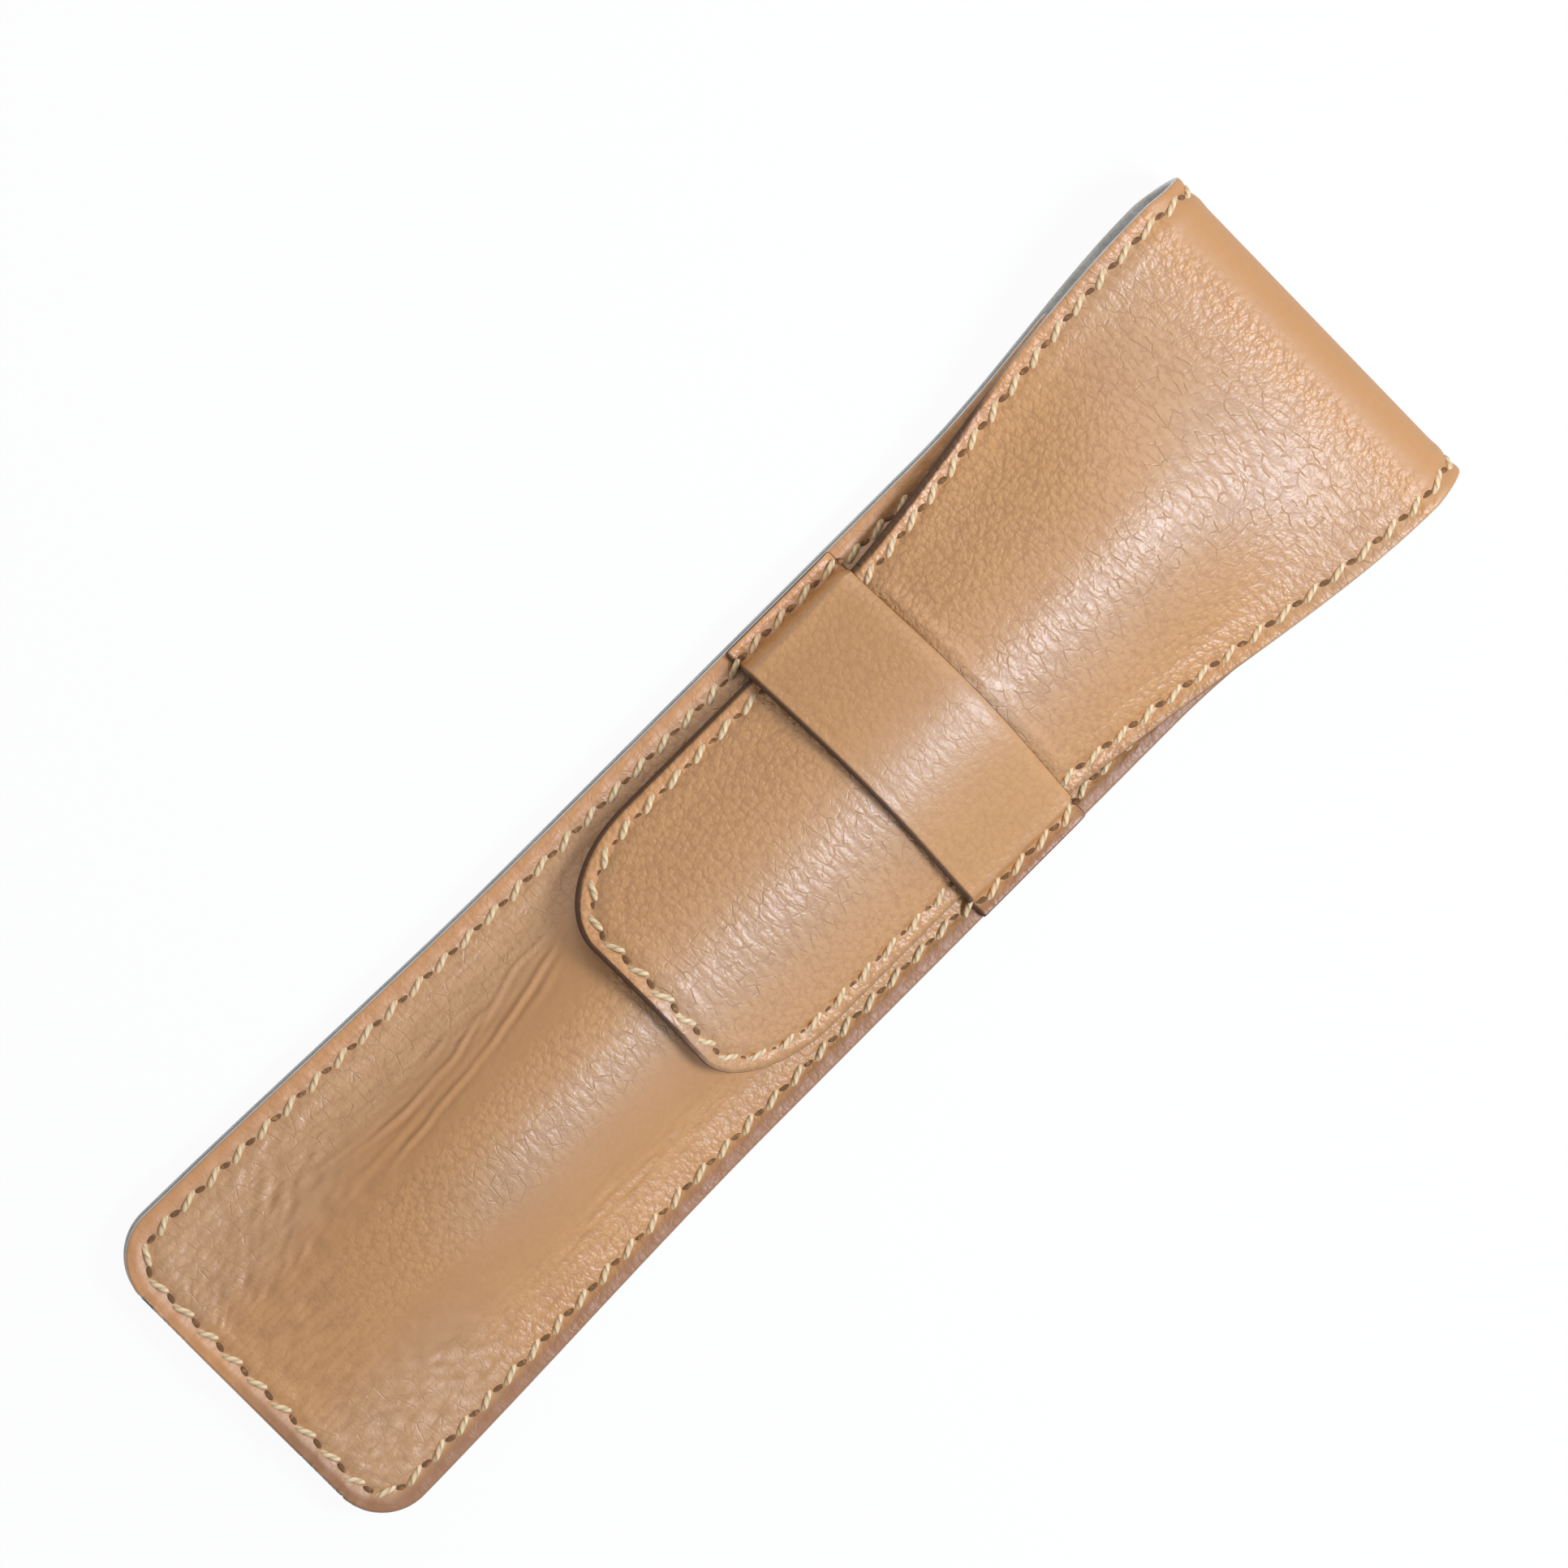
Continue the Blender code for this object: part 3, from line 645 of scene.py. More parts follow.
def shares_across(half_width, step_at):
    """Shares from -1 to 1 across a sheet, spaced by the step that each place asks for."""
    places = np.linspace(-half_width, half_width, DENSITY_PLACES)
    density = 1 / step_at(places)
    counted = np.concatenate([[0], np.cumsum((density[1:] + density[:-1]) / 2 * np.diff(places))])
    wanted = np.linspace(0, counted[-1], int(counted[-1]) + 2)
    return np.interp(wanted, counted, places) / half_width


def seam_steps(half_width, middle_step, fine_step=FINE_STEP):
    """Steps across a sheet that are finer along its two seams."""
    return lambda x: np.where(np.abs(x) > half_width - SEAM_ZONE, fine_step, middle_step)


def rows_up(low_y, high_y, step=ROW_STEP):
    """Places along Y from an end seam up, closer together along the seam and round its corners."""
    seam_rows = low_y + SEAM_ZONE * (1 - np.cos(steps_between(0, math.pi / 2, CORNER_TURN)))
    return np.concatenate([seam_rows, steps_between(low_y + SEAM_ZONE, high_y, step)[1:]])


def unit(vectors):
    """Vectors brought to a length of 1."""
    return vectors / np.maximum(np.linalg.norm(vectors, axis=-1, keepdims=True), 1e-12)


def sheet_normals(grid):
    """The direction square to a grid of points, on the side from which it runs counter-clockwise."""
    up = np.gradient(grid, axis=0)
    across = np.gradient(grid, axis=1)
    normal = np.cross(across, up)
    return unit(normal)


def hide_places(grid, along, side=1):
    """Where each point lies on the flat hide: across it, along it, and in its depth."""
    middle = np.abs(grid[-1, :, 0]).argmin()
    across = np.linalg.norm(np.diff(grid, axis=1), axis=2)
    across = np.pad(np.cumsum(across, axis=1), ((0, 0), (1, 0)))
    across = (across - across[:, middle:middle + 1]) * side + grid[:, middle:middle + 1, 0]
    return np.stack([across, along, 0 * across], axis=2)


def loop_round(rows, columns):
    """The (row, column) of each point round a grid, counter-clockwise."""
    bottom = [(0, c) for c in range(columns)]
    right = [(r, columns - 1) for r in range(1, rows)]
    top = [(rows - 1, c) for c in range(columns - 2, -1, -1)]
    left = [(r, 0) for r in range(rows - 2, 0, -1)]
    return np.array(bottom + right + top + left)


def wall_directions(outer, loop, flat_rows):
    """The outward direction at each point of the loop, and 0 where a flat end meets another sheet."""
    columns = outer.shape[1]
    ring = outer[loop[:, 0], loop[:, 1]]
    ahead, behind = np.roll(ring, -1, axis=0), np.roll(ring, 1, axis=0)
    rounded = np.ones(len(loop))
    for n, (row, column) in enumerate(loop):
        if row not in flat_rows:
            continue
        if 0 < column < columns - 1:
            rounded[n] = 0
            continue
        inward = outer[row + (1 if row == 0 else -1), column]
        up_the_right = column == columns - 1
        if (row == 0) == up_the_right:
            ahead[n], behind[n] = inward, ring[n]
        else:
            ahead[n], behind[n] = ring[n], inward
    normal = sheet_normals(outer)[loop[:, 0], loop[:, 1]]
    return unit(np.cross(ahead - behind, normal)) * rounded[:, None]


def sheet_points(outer, inner, loop, outward, rounding):
    """The points of a sheet's outer face, its rounded walls and its inner face, and how deep each
    lies in the hide."""
    outer_ring, inner_ring = outer[loop[:, 0], loop[:, 1]], inner[loop[:, 0], loop[:, 1]]
    thickness = np.linalg.norm(outer_ring - inner_ring, axis=1)
    outer, inner = outer.reshape(-1, 3), inner.reshape(-1, 3)
    points, depths = [outer], [np.zeros(len(outer))]
    for step in range(1, WALL_STEPS):
        share = (1 - math.cos(math.pi * step / WALL_STEPS)) / 2
        bulge = (1 - abs(2 * share - 1) ** 3) ** (1 / 3)
        points.append(outer_ring * (1 - share) + inner_ring * share + outward * (rounding * bulge))
        depths.append(thickness * share)
    points.append(inner)
    depths.append(np.full(len(inner), LEATHER))
    return np.concatenate(points), np.concatenate(depths)


def sheet_faces(rows, columns, loop):
    """The faces of a sheet, the number of each one's material, and the rings of points between
    its outer and its inner face."""
    number = np.arange(rows * columns).reshape(rows, columns)
    quads = np.stack([number[:-1, :-1], number[:-1, 1:], number[1:, 1:], number[1:, :-1]], axis=-1)
    quads = quads.reshape(-1, 4)
    last = rows * columns + len(loop) * (WALL_STEPS - 1)
    rings = [number[loop[:, 0], loop[:, 1]]]
    rings += [rows * columns + n * len(loop) + np.arange(len(loop)) for n in range(WALL_STEPS - 1)]
    rings.append(rings[0] + last)
    walls = [np.stack([a, b, np.roll(b, -1), np.roll(a, -1)], axis=1) for a, b in zip(rings, rings[1:])]
    counts = len(quads) + len(loop), len(loop) * (WALL_STEPS - 1), len(quads)
    return np.concatenate([quads, *walls, quads[:, ::-1] + last]), np.repeat([0, 1, 2], counts), rings


def placed(name, data):
    """A new object in the scene."""
    made = bpy.data.objects.new(name, data)
    bpy.context.scene.collection.objects.link(made)
    return made


def closed_sheet(name, outer, inner, fields, materials, rounding, flat_rows=()):
    """A sheet between two grids of points, closed by rounded walls. Its materials are those of its
    outer face, its walls and its inner face."""
    rows, columns = outer.shape[:2]
    loop = loop_round(rows, columns)
    flat_rows = {row % rows for row in flat_rows}
    outward = wall_directions(outer, loop, flat_rows)
    points, depths = sheet_points(outer, inner, loop, outward, rounding)
    faces, kinds, rings = sheet_faces(rows, columns, loop)
    mesh = bpy.data.meshes.new(name)
    mesh.from_pydata(points.tolist(), [], faces.tolist())
    for material in materials:
        mesh.materials.append(material)
    mesh.polygons.foreach_set("material_index", kinds.astype(np.int32))
    mesh.shade_smooth()
    for label, values in fields.items():
        values = values.reshape(-1, 3)
        spread = np.concatenate([values, *[values[rings[0]]] * (WALL_STEPS - 1), values])
        if label == "hide_place":
            spread[:, 2] -= depths
        give_vectors(mesh, label, spread)
    sharpen_flat_ends(mesh, rings, loop, flat_rows)
    mesh.validate()
    return placed(name, mesh)


def give_vectors(mesh, name, values):
    """Stores a vector for each point of a mesh."""
    layer = mesh.attributes.new(name, "FLOAT_VECTOR", "POINT")
    layer.data.foreach_set("vector", values.astype(np.float32).ravel())


def sharpen_flat_ends(mesh, rings, loop, flat_rows):
    """Keeps the shading of a face clear of the flat end that meets another sheet."""
    if not flat_rows:
        return
    ends = set()
    for ring in (rings[0], rings[-1]):
        for n, (row, _) in enumerate(loop):
            following = (n + 1) % len(loop)
            if row in flat_rows and loop[following][0] == row:
                ends.add(tuple(sorted((int(ring[n]), int(ring[following])))))
    layer = mesh.attributes.new("sharp_edge", "BOOLEAN", "EDGE")
    sharp = [tuple(sorted(edge.vertices)) in ends for edge in mesh.edges]
    layer.data.foreach_set("value", sharp)


def worked(x, smooth=0.0, long_wrinkles=0.0, cross_wrinkles_and_sheen=0.0):
    """How the hide is worked at each point: smoothed, and wrinkled along and across its length. The share
    wrinkled across also paints the hide pale as sheen.
    """
    fields = (smooth, long_wrinkles, cross_wrinkles_and_sheen)
    return np.stack([np.broadcast_to(field, x.shape).astype(float) for field in fields], axis=-1)


def burnish(x, depth):
    """How the hide is burnished at each point: lightly outside its seam, on the left side only as painted
    light, and darkened at its right edge as painted shade.
    """
    # Burnished paler outside the seam, on the left side only: partly painted light.
    light = 0.75 * smooth_step(*LIGHT_BURNISH, depth) * smooth_step(*TOWARD_LIT_LEFT, x)
    # Painted shade: the margin darkens toward the right edge.
    dark = smooth_step(*RIGHT_EDGE_SHADE, depth) * smooth_step(*TOWARD_SHADED_RIGHT, x)
    return np.stack([light, dark, 0 * x], axis=-1)


def edge_dye_and_gap_shadow(x, y, depth):
    """How the flap is burnished on its left side, partly as painted light, and how far the dark colour of
    its edge reaches onto its face: partly dyed, partly a painted shadow of the gap where the flap stands
    off the case; wider above the band, less on the right, and not up to the fold."""
    # Painted shadow: the dark edge is wider above the band, where the flap's edge stands off the case.
    wide = 0.25 * MM * hump(37 * MM, 9 * MM, y)
    dark_reach_and_shadow = smooth_step(0.6 * MM + wide, 0.42 * MM + wide, depth) * smooth_step(54 * MM, 46 * MM, y)
    # Less on the right, away from the side where the painted shadow falls.
    dark_reach_and_shadow = dark_reach_and_shadow * (1 - 0.75 * smooth_step(2 * MM, 12 * MM, x))
    # Burnished paler on the left side only: partly painted light.
    light = 0.5 * smooth_step(*FLAP_BURNISH, depth) * smooth_step(*TOWARD_LIT_LEFT, x)
    return np.stack([light, 0 * x, 0.92 * dark_reach_and_shadow], axis=-1)


# Helpers for node trees


def node(tree, kind, inputs=None, **settings):
    """A node with its settings, and its inputs linked or set."""
    made = tree.nodes.new(kind)
    for key, value in settings.items():
        setattr(made, key, value)
    for key, value in (inputs or {}).items():
        if isinstance(value, bpy.types.NodeSocket):
            tree.links.new(value, made.inputs[key])
        else:
            made.inputs[key].default_value = value
    return made


def first_output(tree, kind, inputs=None, **settings):
    """The first output of a new node."""
    return node(tree, kind, inputs, **settings).outputs[0]


def maths(tree, operation, *values):
    """The result of a Math node."""
    return first_output(tree, "ShaderNodeMath", dict(enumerate(values)), operation=operation)


def weighted(tree, *terms):
    """The sum of values, each by its weight."""
    total, *rest = [maths(tree, "MULTIPLY", value, weight) for value, weight in terms]
    for term in rest:
        total = maths(tree, "ADD", total, term)
    return total


def noise_over(tree, place, scale, detail=2.0):
    """The strength of soft noise over a place."""
    inputs = {"Vector": place, "Scale": scale, "Detail": detail}
    return node(tree, "ShaderNodeTexNoise", inputs).outputs["Fac"]


def vector_maths(tree, operation, first, second):
    """The result of a Vector Math node."""
    inputs = {0: first, "Scale" if operation == "SCALE" else 1: second}
    return first_output(tree, "ShaderNodeVectorMath", inputs, operation=operation)


def eased(tree, value, low, high, to_low=0.0, to_high=1.0):
    """A value mapped smoothly from one range to another."""
    made = node(
        tree, "ShaderNodeMapRange",
        {"Value": value, "From Min": low, "From Max": high, "To Min": to_low, "To Max": to_high},
        interpolation_type="SMOOTHSTEP")
    return made.outputs["Result"]


def mixed(tree, share, first, second):
    """One colour or the other, by a share."""
    made = tree.nodes.new("ShaderNodeMix")
    made.data_type = "RGBA"
    for socket, value in ((made.inputs[0], share), (made.inputs[6], first), (made.inputs[7], second)):
        if isinstance(value, bpy.types.NodeSocket):
            tree.links.new(value, socket)
        elif socket.type == "RGBA":
            socket.default_value = (*value[:3], 1)
        else:
            socket.default_value = value
    return made.outputs[2]


def arrange(tree):
    """Lays a tree's nodes out from left to right."""
    column = {}

    def place(made):
        if made.name not in column:
            column[made.name] = 0
            sources = [link.from_node for socket in made.inputs for link in socket.links]
            column[made.name] = 1 + max((place(source) for source in sources), default=0)
        return column[made.name]

    rows = {}
    for made in tree.nodes:
        at = place(made)
        rows[at] = rows.get(at, 0) + 1
        made.location = (at * 220, -rows[at] * 260)


def group_tree(name, kind, inputs, outputs):
    """A new node group with named inputs (name, type, default) and outputs (name, type)."""
    tree = bpy.data.node_groups.new(name, kind)
    for label, socket_type, default in inputs:
        socket = tree.interface.new_socket(label, in_out="INPUT", socket_type=socket_type)
        if default is not None:
            socket.default_value = default
    for label, socket_type in outputs:
        tree.interface.new_socket(label, in_out="OUTPUT", socket_type=socket_type)
    return tree, tree.nodes.new("NodeGroupInput").outputs, tree.nodes.new("NodeGroupOutput").inputs


# Finishes


def grain_group():
    """Pebbled grain with wrinkles along and across it, as a height and a mask of its crevices, which is
    also used to paint shade into them.
    """
    found = bpy.data.node_groups.get("leather_grain")
    if found:
        return found
    tree, given, result = group_tree(
        "leather_grain", "ShaderNodeTree",
        [("Place", "NodeSocketVector", None), ("State", "NodeSocketVector", None),
         ("Cell Size", "NodeSocketFloat", 0.00085), ("Grain", "NodeSocketFloat", 1.0)],
        [("Height", "NodeSocketFloat"), ("Crevice", "NodeSocketFloat")])
    smooth, long_share, cross_share = node(tree, "ShaderNodeSeparateXYZ", {0: given["State"]}).outputs
    scaled = vector_maths(tree, "SCALE", given["Place"], maths(tree, "DIVIDE", 1.0, given["Cell Size"]))
    bend = node(tree, "ShaderNodeTexNoise", {"Vector": scaled, "Scale": 0.6, "Detail": 2.0}).outputs
    off = vector_maths(tree, "SUBTRACT", bend["Color"], (0.5, 0.5, 0.5))
    warped = vector_maths(tree, "ADD", scaled, vector_maths(tree, "SCALE", off, 0.85))

    def cells(stretch, seed, feature, **inputs):
        drawn = vector_maths(tree, "MULTIPLY", warped, stretch)
        drawn = vector_maths(tree, "ADD", drawn, (seed, seed, seed))
        return node(tree, "ShaderNodeTexVoronoi", {"Vector": drawn, "Scale": 1.0, **inputs},
                    voronoi_dimensions="2D", feature=feature).outputs["Distance"]

    def pebbles(stretch, seed, smoothness=0.25):
        centre = cells(stretch, seed, "SMOOTH_F1", Smoothness=smoothness)
        return eased(tree, centre, 0.67, 0.16)

    def blended(share, first, second):
        step = maths(tree, "MULTIPLY", share, maths(tree, "SUBTRACT", second, first))
        return maths(tree, "ADD", first, step)

    small = pebbles((2.1, 2.1, 2.1), 4.1)
    grain = blended(0.3, pebbles((1.0, 1.0, 1.0), 0.0), small)
    across = blended(0.15, pebbles((0.34, 1.05, 1.0), 7.3, 0.2), small)
    along = blended(0.15, pebbles((1.1, 0.25, 1.0), 2.9, 0.2), small)
    relief = blended(long_share, blended(cross_share, grain, across), along)
    lines = eased(tree, cells((0.36, 0.62, 1.0), 0.0, "DISTANCE_TO_EDGE"), 0.085, 0.0)
    broken = maths(tree, "MULTIPLY", lines, eased(tree, bend["Fac"], 0.4, 0.56))
    crackled = maths(tree, "MINIMUM", maths(tree, "MULTIPLY", cross_share, 1.7), 1.0)
    cracks = maths(tree, "MULTIPLY", broken, crackled)
    relief = maths(tree, "SUBTRACT", relief, maths(tree, "MULTIPLY", cracks, relief))
    kept = maths(tree, "MULTIPLY", given["Grain"], maths(tree, "SUBTRACT", 1.0, smooth))
    height = weighted(tree, (relief, kept), (noise_over(tree, scaled, 5.5), 0.16))
    tree.links.new(height, result["Height"])
    hollow = maths(tree, "POWER", maths(tree, "SUBTRACT", 1.0, relief), 2.4)
    # Painted shade: the cracks deepen the crevice mask that darkens the colour.
    hollow = maths(tree, "ADD", hollow, maths(tree, "MULTIPLY", cracks, 0.4))
    tree.links.new(maths(tree, "MULTIPLY", hollow, kept), result["Crevice"])
    arrange(tree)
    return tree


def tone_group():
    """Uneven tone: a colour that drifts at random over the hide, and deepens in its crevices as painted
    shade.
    """
    found = bpy.data.node_groups.get("leather_tone")
    if found:
        return found
    tree, given, result = group_tree(
        "leather_tone", "ShaderNodeTree",
        [("Place", "NodeSocketVector", None), ("Colour", "NodeSocketColor", None),
         ("Deep Colour", "NodeSocketColor", None), ("Crevice", "NodeSocketFloat", 0.0),
         ("Depth", "NodeSocketFloat", 0.3), ("Drift", "NodeSocketFloat", 0.16)],
        [("Colour", "NodeSocketColor"), ("Unevenness", "NodeSocketFloat")])
    patch = eased(tree, noise_over(tree, given["Place"], 95.0, 3.0), 0.3, 0.7)
    fleck = eased(tree, noise_over(tree, given["Place"], 1150.0), 0.3, 0.7)
    uneven = weighted(tree, (patch, 0.55), (fleck, 0.45))
    # Random drift, plus painted shade in the crevices.
    deep = weighted(tree, (given["Drift"], uneven), (given["Crevice"], given["Depth"]))
    tree.links.new(mixed(tree, deep, given["Colour"], given["Deep Colour"]), result["Colour"])
    tree.links.new(patch, result["Unevenness"])
    arrange(tree)
    return tree


def new_material(name):
    """A material with its Principled shader."""
    made = bpy.data.materials.new(name)
    made.use_nodes = True
    return made, made.node_tree, made.node_tree.nodes["Principled BSDF"]


def attribute(tree, name):
    """A piece's own attribute."""
    return node(tree, "ShaderNodeAttribute", attribute_name=name).outputs


def group_node(tree, group, inputs):
    """A group in a material, with its own values."""
    return node(tree, "ShaderNodeGroup", inputs, node_tree=group).outputs


def bumped(tree, height, distance):
    """The normal of a height."""
    inputs = {"Height": height, "Distance": distance, "Strength": 1.0}
    return node(tree, "ShaderNodeBump", inputs).outputs[0]


def leather_material(name, colour, cell_size, grain, bump, roughness):
    """Grained leather, painted pale as sheen where it is wrinkled across, burnished outside its seams,
    painted darker as shade at its right edge and in its grain's crevices, and dyed at an edge, with a
    painted shadow of the gap beside it."""
    made, tree, shader = new_material(name)
    place, state = attribute(tree, "hide_place")["Vector"], attribute(tree, "hide_state")["Vector"]
    relief = group_node(tree, grain_group(), {
        "Place": place, "State": state, "Cell Size": cell_size, "Grain": grain})
    burnish_and_shade_values = attribute(tree, "hide_burnish")["Vector"]
    light, dark, dye_and_shadow_share = node(tree, "ShaderNodeSeparateXYZ", {0: burnish_and_shade_values}).outputs
    smooth, _, crossed_and_sheen = node(tree, "ShaderNodeSeparateXYZ", {0: state}).outputs
    # Painted sheen besides wear: paler where the hide is wrinkled across.
    face = mixed(tree, maths(tree, "MULTIPLY", crossed_and_sheen, 0.46), colour, colours().rubbed_and_sheen)
    # Burnished paler, on the left side only: partly painted light.
    face = mixed(tree, light, face, colours().burnished)
    # Painted shade at the right edge.
    face = mixed(tree, dark, face, colours().leather_deep)
    tone = group_node(tree, tone_group(), {
        "Place": place, "Colour": face, "Deep Colour": (*colours().leather_deep, 1),
        "Crevice": relief["Crevice"], "Depth": 0.38})
    drawn = mixed(tree, maths(tree, "MULTIPLY", smooth, 0.26), tone["Colour"], colours().leather_deep)
    # Dyed edge, widened by the painted shadow of the gap beside the flap and under the band.
    tree.links.new(mixed(tree, dye_and_shadow_share, drawn, colours().dark_edge), shader.inputs["Base Color"])
    rough = weighted(tree, (relief["Crevice"], 0.1), (tone["Unevenness"], -0.05), (smooth, 0.16))
    tree.links.new(maths(tree, "ADD", roughness, rough), shader.inputs["Roughness"])
    tree.links.new(bumped(tree, relief["Height"], bump), shader.inputs["Normal"])
    gloss = maths(tree, "SUBTRACT", 0.95, maths(tree, "MULTIPLY", dye_and_shadow_share, 0.8))
    tree.links.new(gloss, shader.inputs["Specular IOR Level"])
    arrange(tree)
    return made


def fibre_material(name, colour, roughness=0.85, toward_fold=None):
    """The cut edge of a hide: packed fibres in thin layers, of another colour toward the fold."""
    made, tree, shader = new_material(name)
    place = attribute(tree, "hide_place")["Vector"]
    fibres = noise_over(tree, vector_maths(tree, "MULTIPLY", place, (1.0, 1.0, 3.0)), 2600.0, 3.0)
    stains = noise_over(tree, place, 240.0)
    shade = weighted(tree, (eased(tree, fibres, 0.3, 0.7), 0.3), (eased(tree, stains, 0.35, 0.7), 0.25))
    if toward_fold:
        along = node(tree, "ShaderNodeSeparateXYZ", {0: place}).outputs[1]
        colour = mixed(tree, eased(tree, along, 46 * MM, 62 * MM), colour, toward_fold)
    dark = mixed(tree, 0.45, (0.0, 0.0, 0.0), colour)
    tree.links.new(mixed(tree, shade, colour, dark), shader.inputs["Base Color"])
    tree.links.new(bumped(tree, fibres, 0.05 * MM), shader.inputs["Normal"])
    shader.inputs["Roughness"].default_value = roughness
    arrange(tree)
    return made


def lining_material(name):
    """Napped grey lining."""
    made, tree, shader = new_material(name)
    place = attribute(tree, "hide_place")["Vector"]
    nap, brushed = noise_over(tree, place, 3600.0, 3.0), noise_over(tree, place, 130.0)
    shade = weighted(tree, (eased(tree, nap, 0.3, 0.7), 0.4), (eased(tree, brushed, 0.35, 0.65), 0.35))
    pale = tuple(min(channel * 1.7, 1) for channel in colours().lining)
    tree.links.new(mixed(tree, shade, colours().lining, pale), shader.inputs["Base Color"])
    tree.links.new(bumped(tree, nap, 0.06 * MM), shader.inputs["Normal"])
    shader.inputs["Roughness"].default_value = 0.95
    shader.inputs["Sheen Weight"].default_value = 0.25
    arrange(tree)
    return made


def thread_material(name):
    """Waxed two-ply thread, painted darker in the grooves between its plies as shade."""
    made, tree, shader = new_material(name)
    turn = node(tree, "ShaderNodeSeparateXYZ", {0: attribute(tree, "thread_round")["Vector"]}).outputs
    angle = maths(tree, "ARCTAN2", turn[1], turn[0])
    run = attribute(tree, "thread_run")["Fac"]
    ply = maths(tree, "SINE", weighted(tree, (angle, 2.0), (run, math.tau / PLY_LENGTH)))
    groove = eased(tree, ply, -1.0, 0.1)
    fuzz = noise_over(tree, node(tree, "ShaderNodeTexCoord").outputs["Object"], 2600.0)
    # Painted shade: the grooves between the plies are darker.
    deep = tuple(channel * 0.7 for channel in colours().thread)
    pale = maths(tree, "ADD", 0.75, maths(tree, "MULTIPLY", fuzz, 0.4))
    share = maths(tree, "MULTIPLY", groove, pale)
    tree.links.new(mixed(tree, share, deep, colours().thread), shader.inputs["Base Color"])
    tree.links.new(bumped(tree, groove, 0.07 * MM), shader.inputs["Normal"])
    shader.inputs["Roughness"].default_value = 0.5
    arrange(tree)
    return made


def hole_material(name):
    """The dark inside of a needle hole."""
    made, tree, shader = new_material(name)
    dust = noise_over(tree, node(tree, "ShaderNodeTexCoord").outputs["Object"], 1800.0)
    pale = tuple(channel * 2.6 for channel in colours().hole)
    share = eased(tree, dust, 0.45, 0.8)
    tree.links.new(mixed(tree, share, colours().hole, pale), shader.inputs["Base Color"])
    shader.inputs["Roughness"].default_value = 0.9
    arrange(tree)
    return made


def finish(name):
    """One of the case's materials, made when it is first asked for."""
    c = colours()
    makers = {
        "tan_grained_leather": (leather_material, c.leather, c.grain_size, 1.0, 0.078 * MM, 0.43),
        "band_smooth_leather": (leather_material, c.band, c.grain_size * 0.95, 0.75, 0.062 * MM, 0.42),
        "pale_raw_edge": (fibre_material, c.raw_edge),
        "dark_dyed_edge": (fibre_material, c.dark_edge, 0.7, c.raw_edge),
        "grey_lining_nap": (lining_material,),
        "cream_waxed_thread": (thread_material,),
        "needle_hole_shadow": (hole_material,),
    }
    maker, *values = makers[name]
    return bpy.data.materials.get(name) or maker(name, *values)


def leather_finishes(face="tan_grained_leather", edge="pale_raw_edge"):
    """The finishes of a leather sheet: its face, its walls and its inside."""
    return [finish(name) for name in (face, edge, "pale_raw_edge")]


# The sheets of the case


def over_roll(rows):
    """Rows of a sheet, and on to the far end of its half of the roll."""
    return np.concatenate([rows, steps_between(FOLD_Y, ROLL_TOP, ROW_STEP)[1:]])


def spread_out(rows, shares, outline, inset):
    """The x and y of a sheet's points, from its rows and its shares across."""
    y = np.broadcast_to(rows[:, None], (len(rows), len(shares)))
    return shares[None, :] * outline.half_width(y, inset), y


def lining_shares(width):
    """Even shares across a lining."""
    return shares_across(width / 2, lambda x: LINING_STEP + 0 * x)


def lining_sheet(name, outer, inner, along, flat_rows=(), side=1):
    """A lining between two grids of points."""
    fields = {"hide_place": hide_places(outer, along, side)}
    finishes = [finish("grey_lining_nap")] * 3
    return closed_sheet(name, outer, inner, fields, finishes, LINING_ROUNDING, flat_rows)


def back_lining():
    """The lining of the back and of the lower half of the roll."""
    inset = LINING_ROUNDING + LINING_INSET
    rows = over_roll(steps_between(BOTTOM_Y + inset, FOLD_Y, LINING_STEP))
    x, y = spread_out(rows, lining_shares(shape().waist_width)[::-1], case_outline(), inset)
    outer, inner = back_seat(x, y, LINING_LOW.z), back_seat(x, y, LINING_HIGH.z)
    return lining_sheet("back_lining_sheet", outer, inner, -y, (-1,), side=-1)


def back_leather():
    """The flat back and the lower half of the roll, as one sheet with its outer face down."""
    outline = case_outline()
    half_width = shape().waist_width / 2
    shares = shares_across(half_width, seam_steps(half_width, BACK_STEP))[::-1]
    rows = over_roll(rows_up(BOTTOM_Y + LEATHER_ROUNDING, FOLD_Y))
    x, y = spread_out(rows, shares, outline, LEATHER_ROUNDING)
    outer, inner = back_seat(x, y, 0), back_seat(x, y, LEATHER)
    on_roll = smooth_step(FOLD_Y, ROLL_TOP, y)
    relief = case_seam().relief(x, y, BACK_PRESS + (1 - BACK_PRESS) * on_roll, on_roll)
    fields = {
        "hide_place": hide_places(outer, 2 * ROLL_TOP - y, side=-1),
        "hide_state": worked(x, smooth=0.92 * smooth_step(FOLD_Y - 5 * MM, FOLD_Y, y)),
        "hide_burnish": burnish(x, outline.depth(x, y)),
    }
    outer = outer + back_normal(x, y) * relief[..., None]
    return closed_sheet("back_leather_sheet", outer, inner, fields, leather_finishes(),
                        LEATHER_ROUNDING, (-1,))


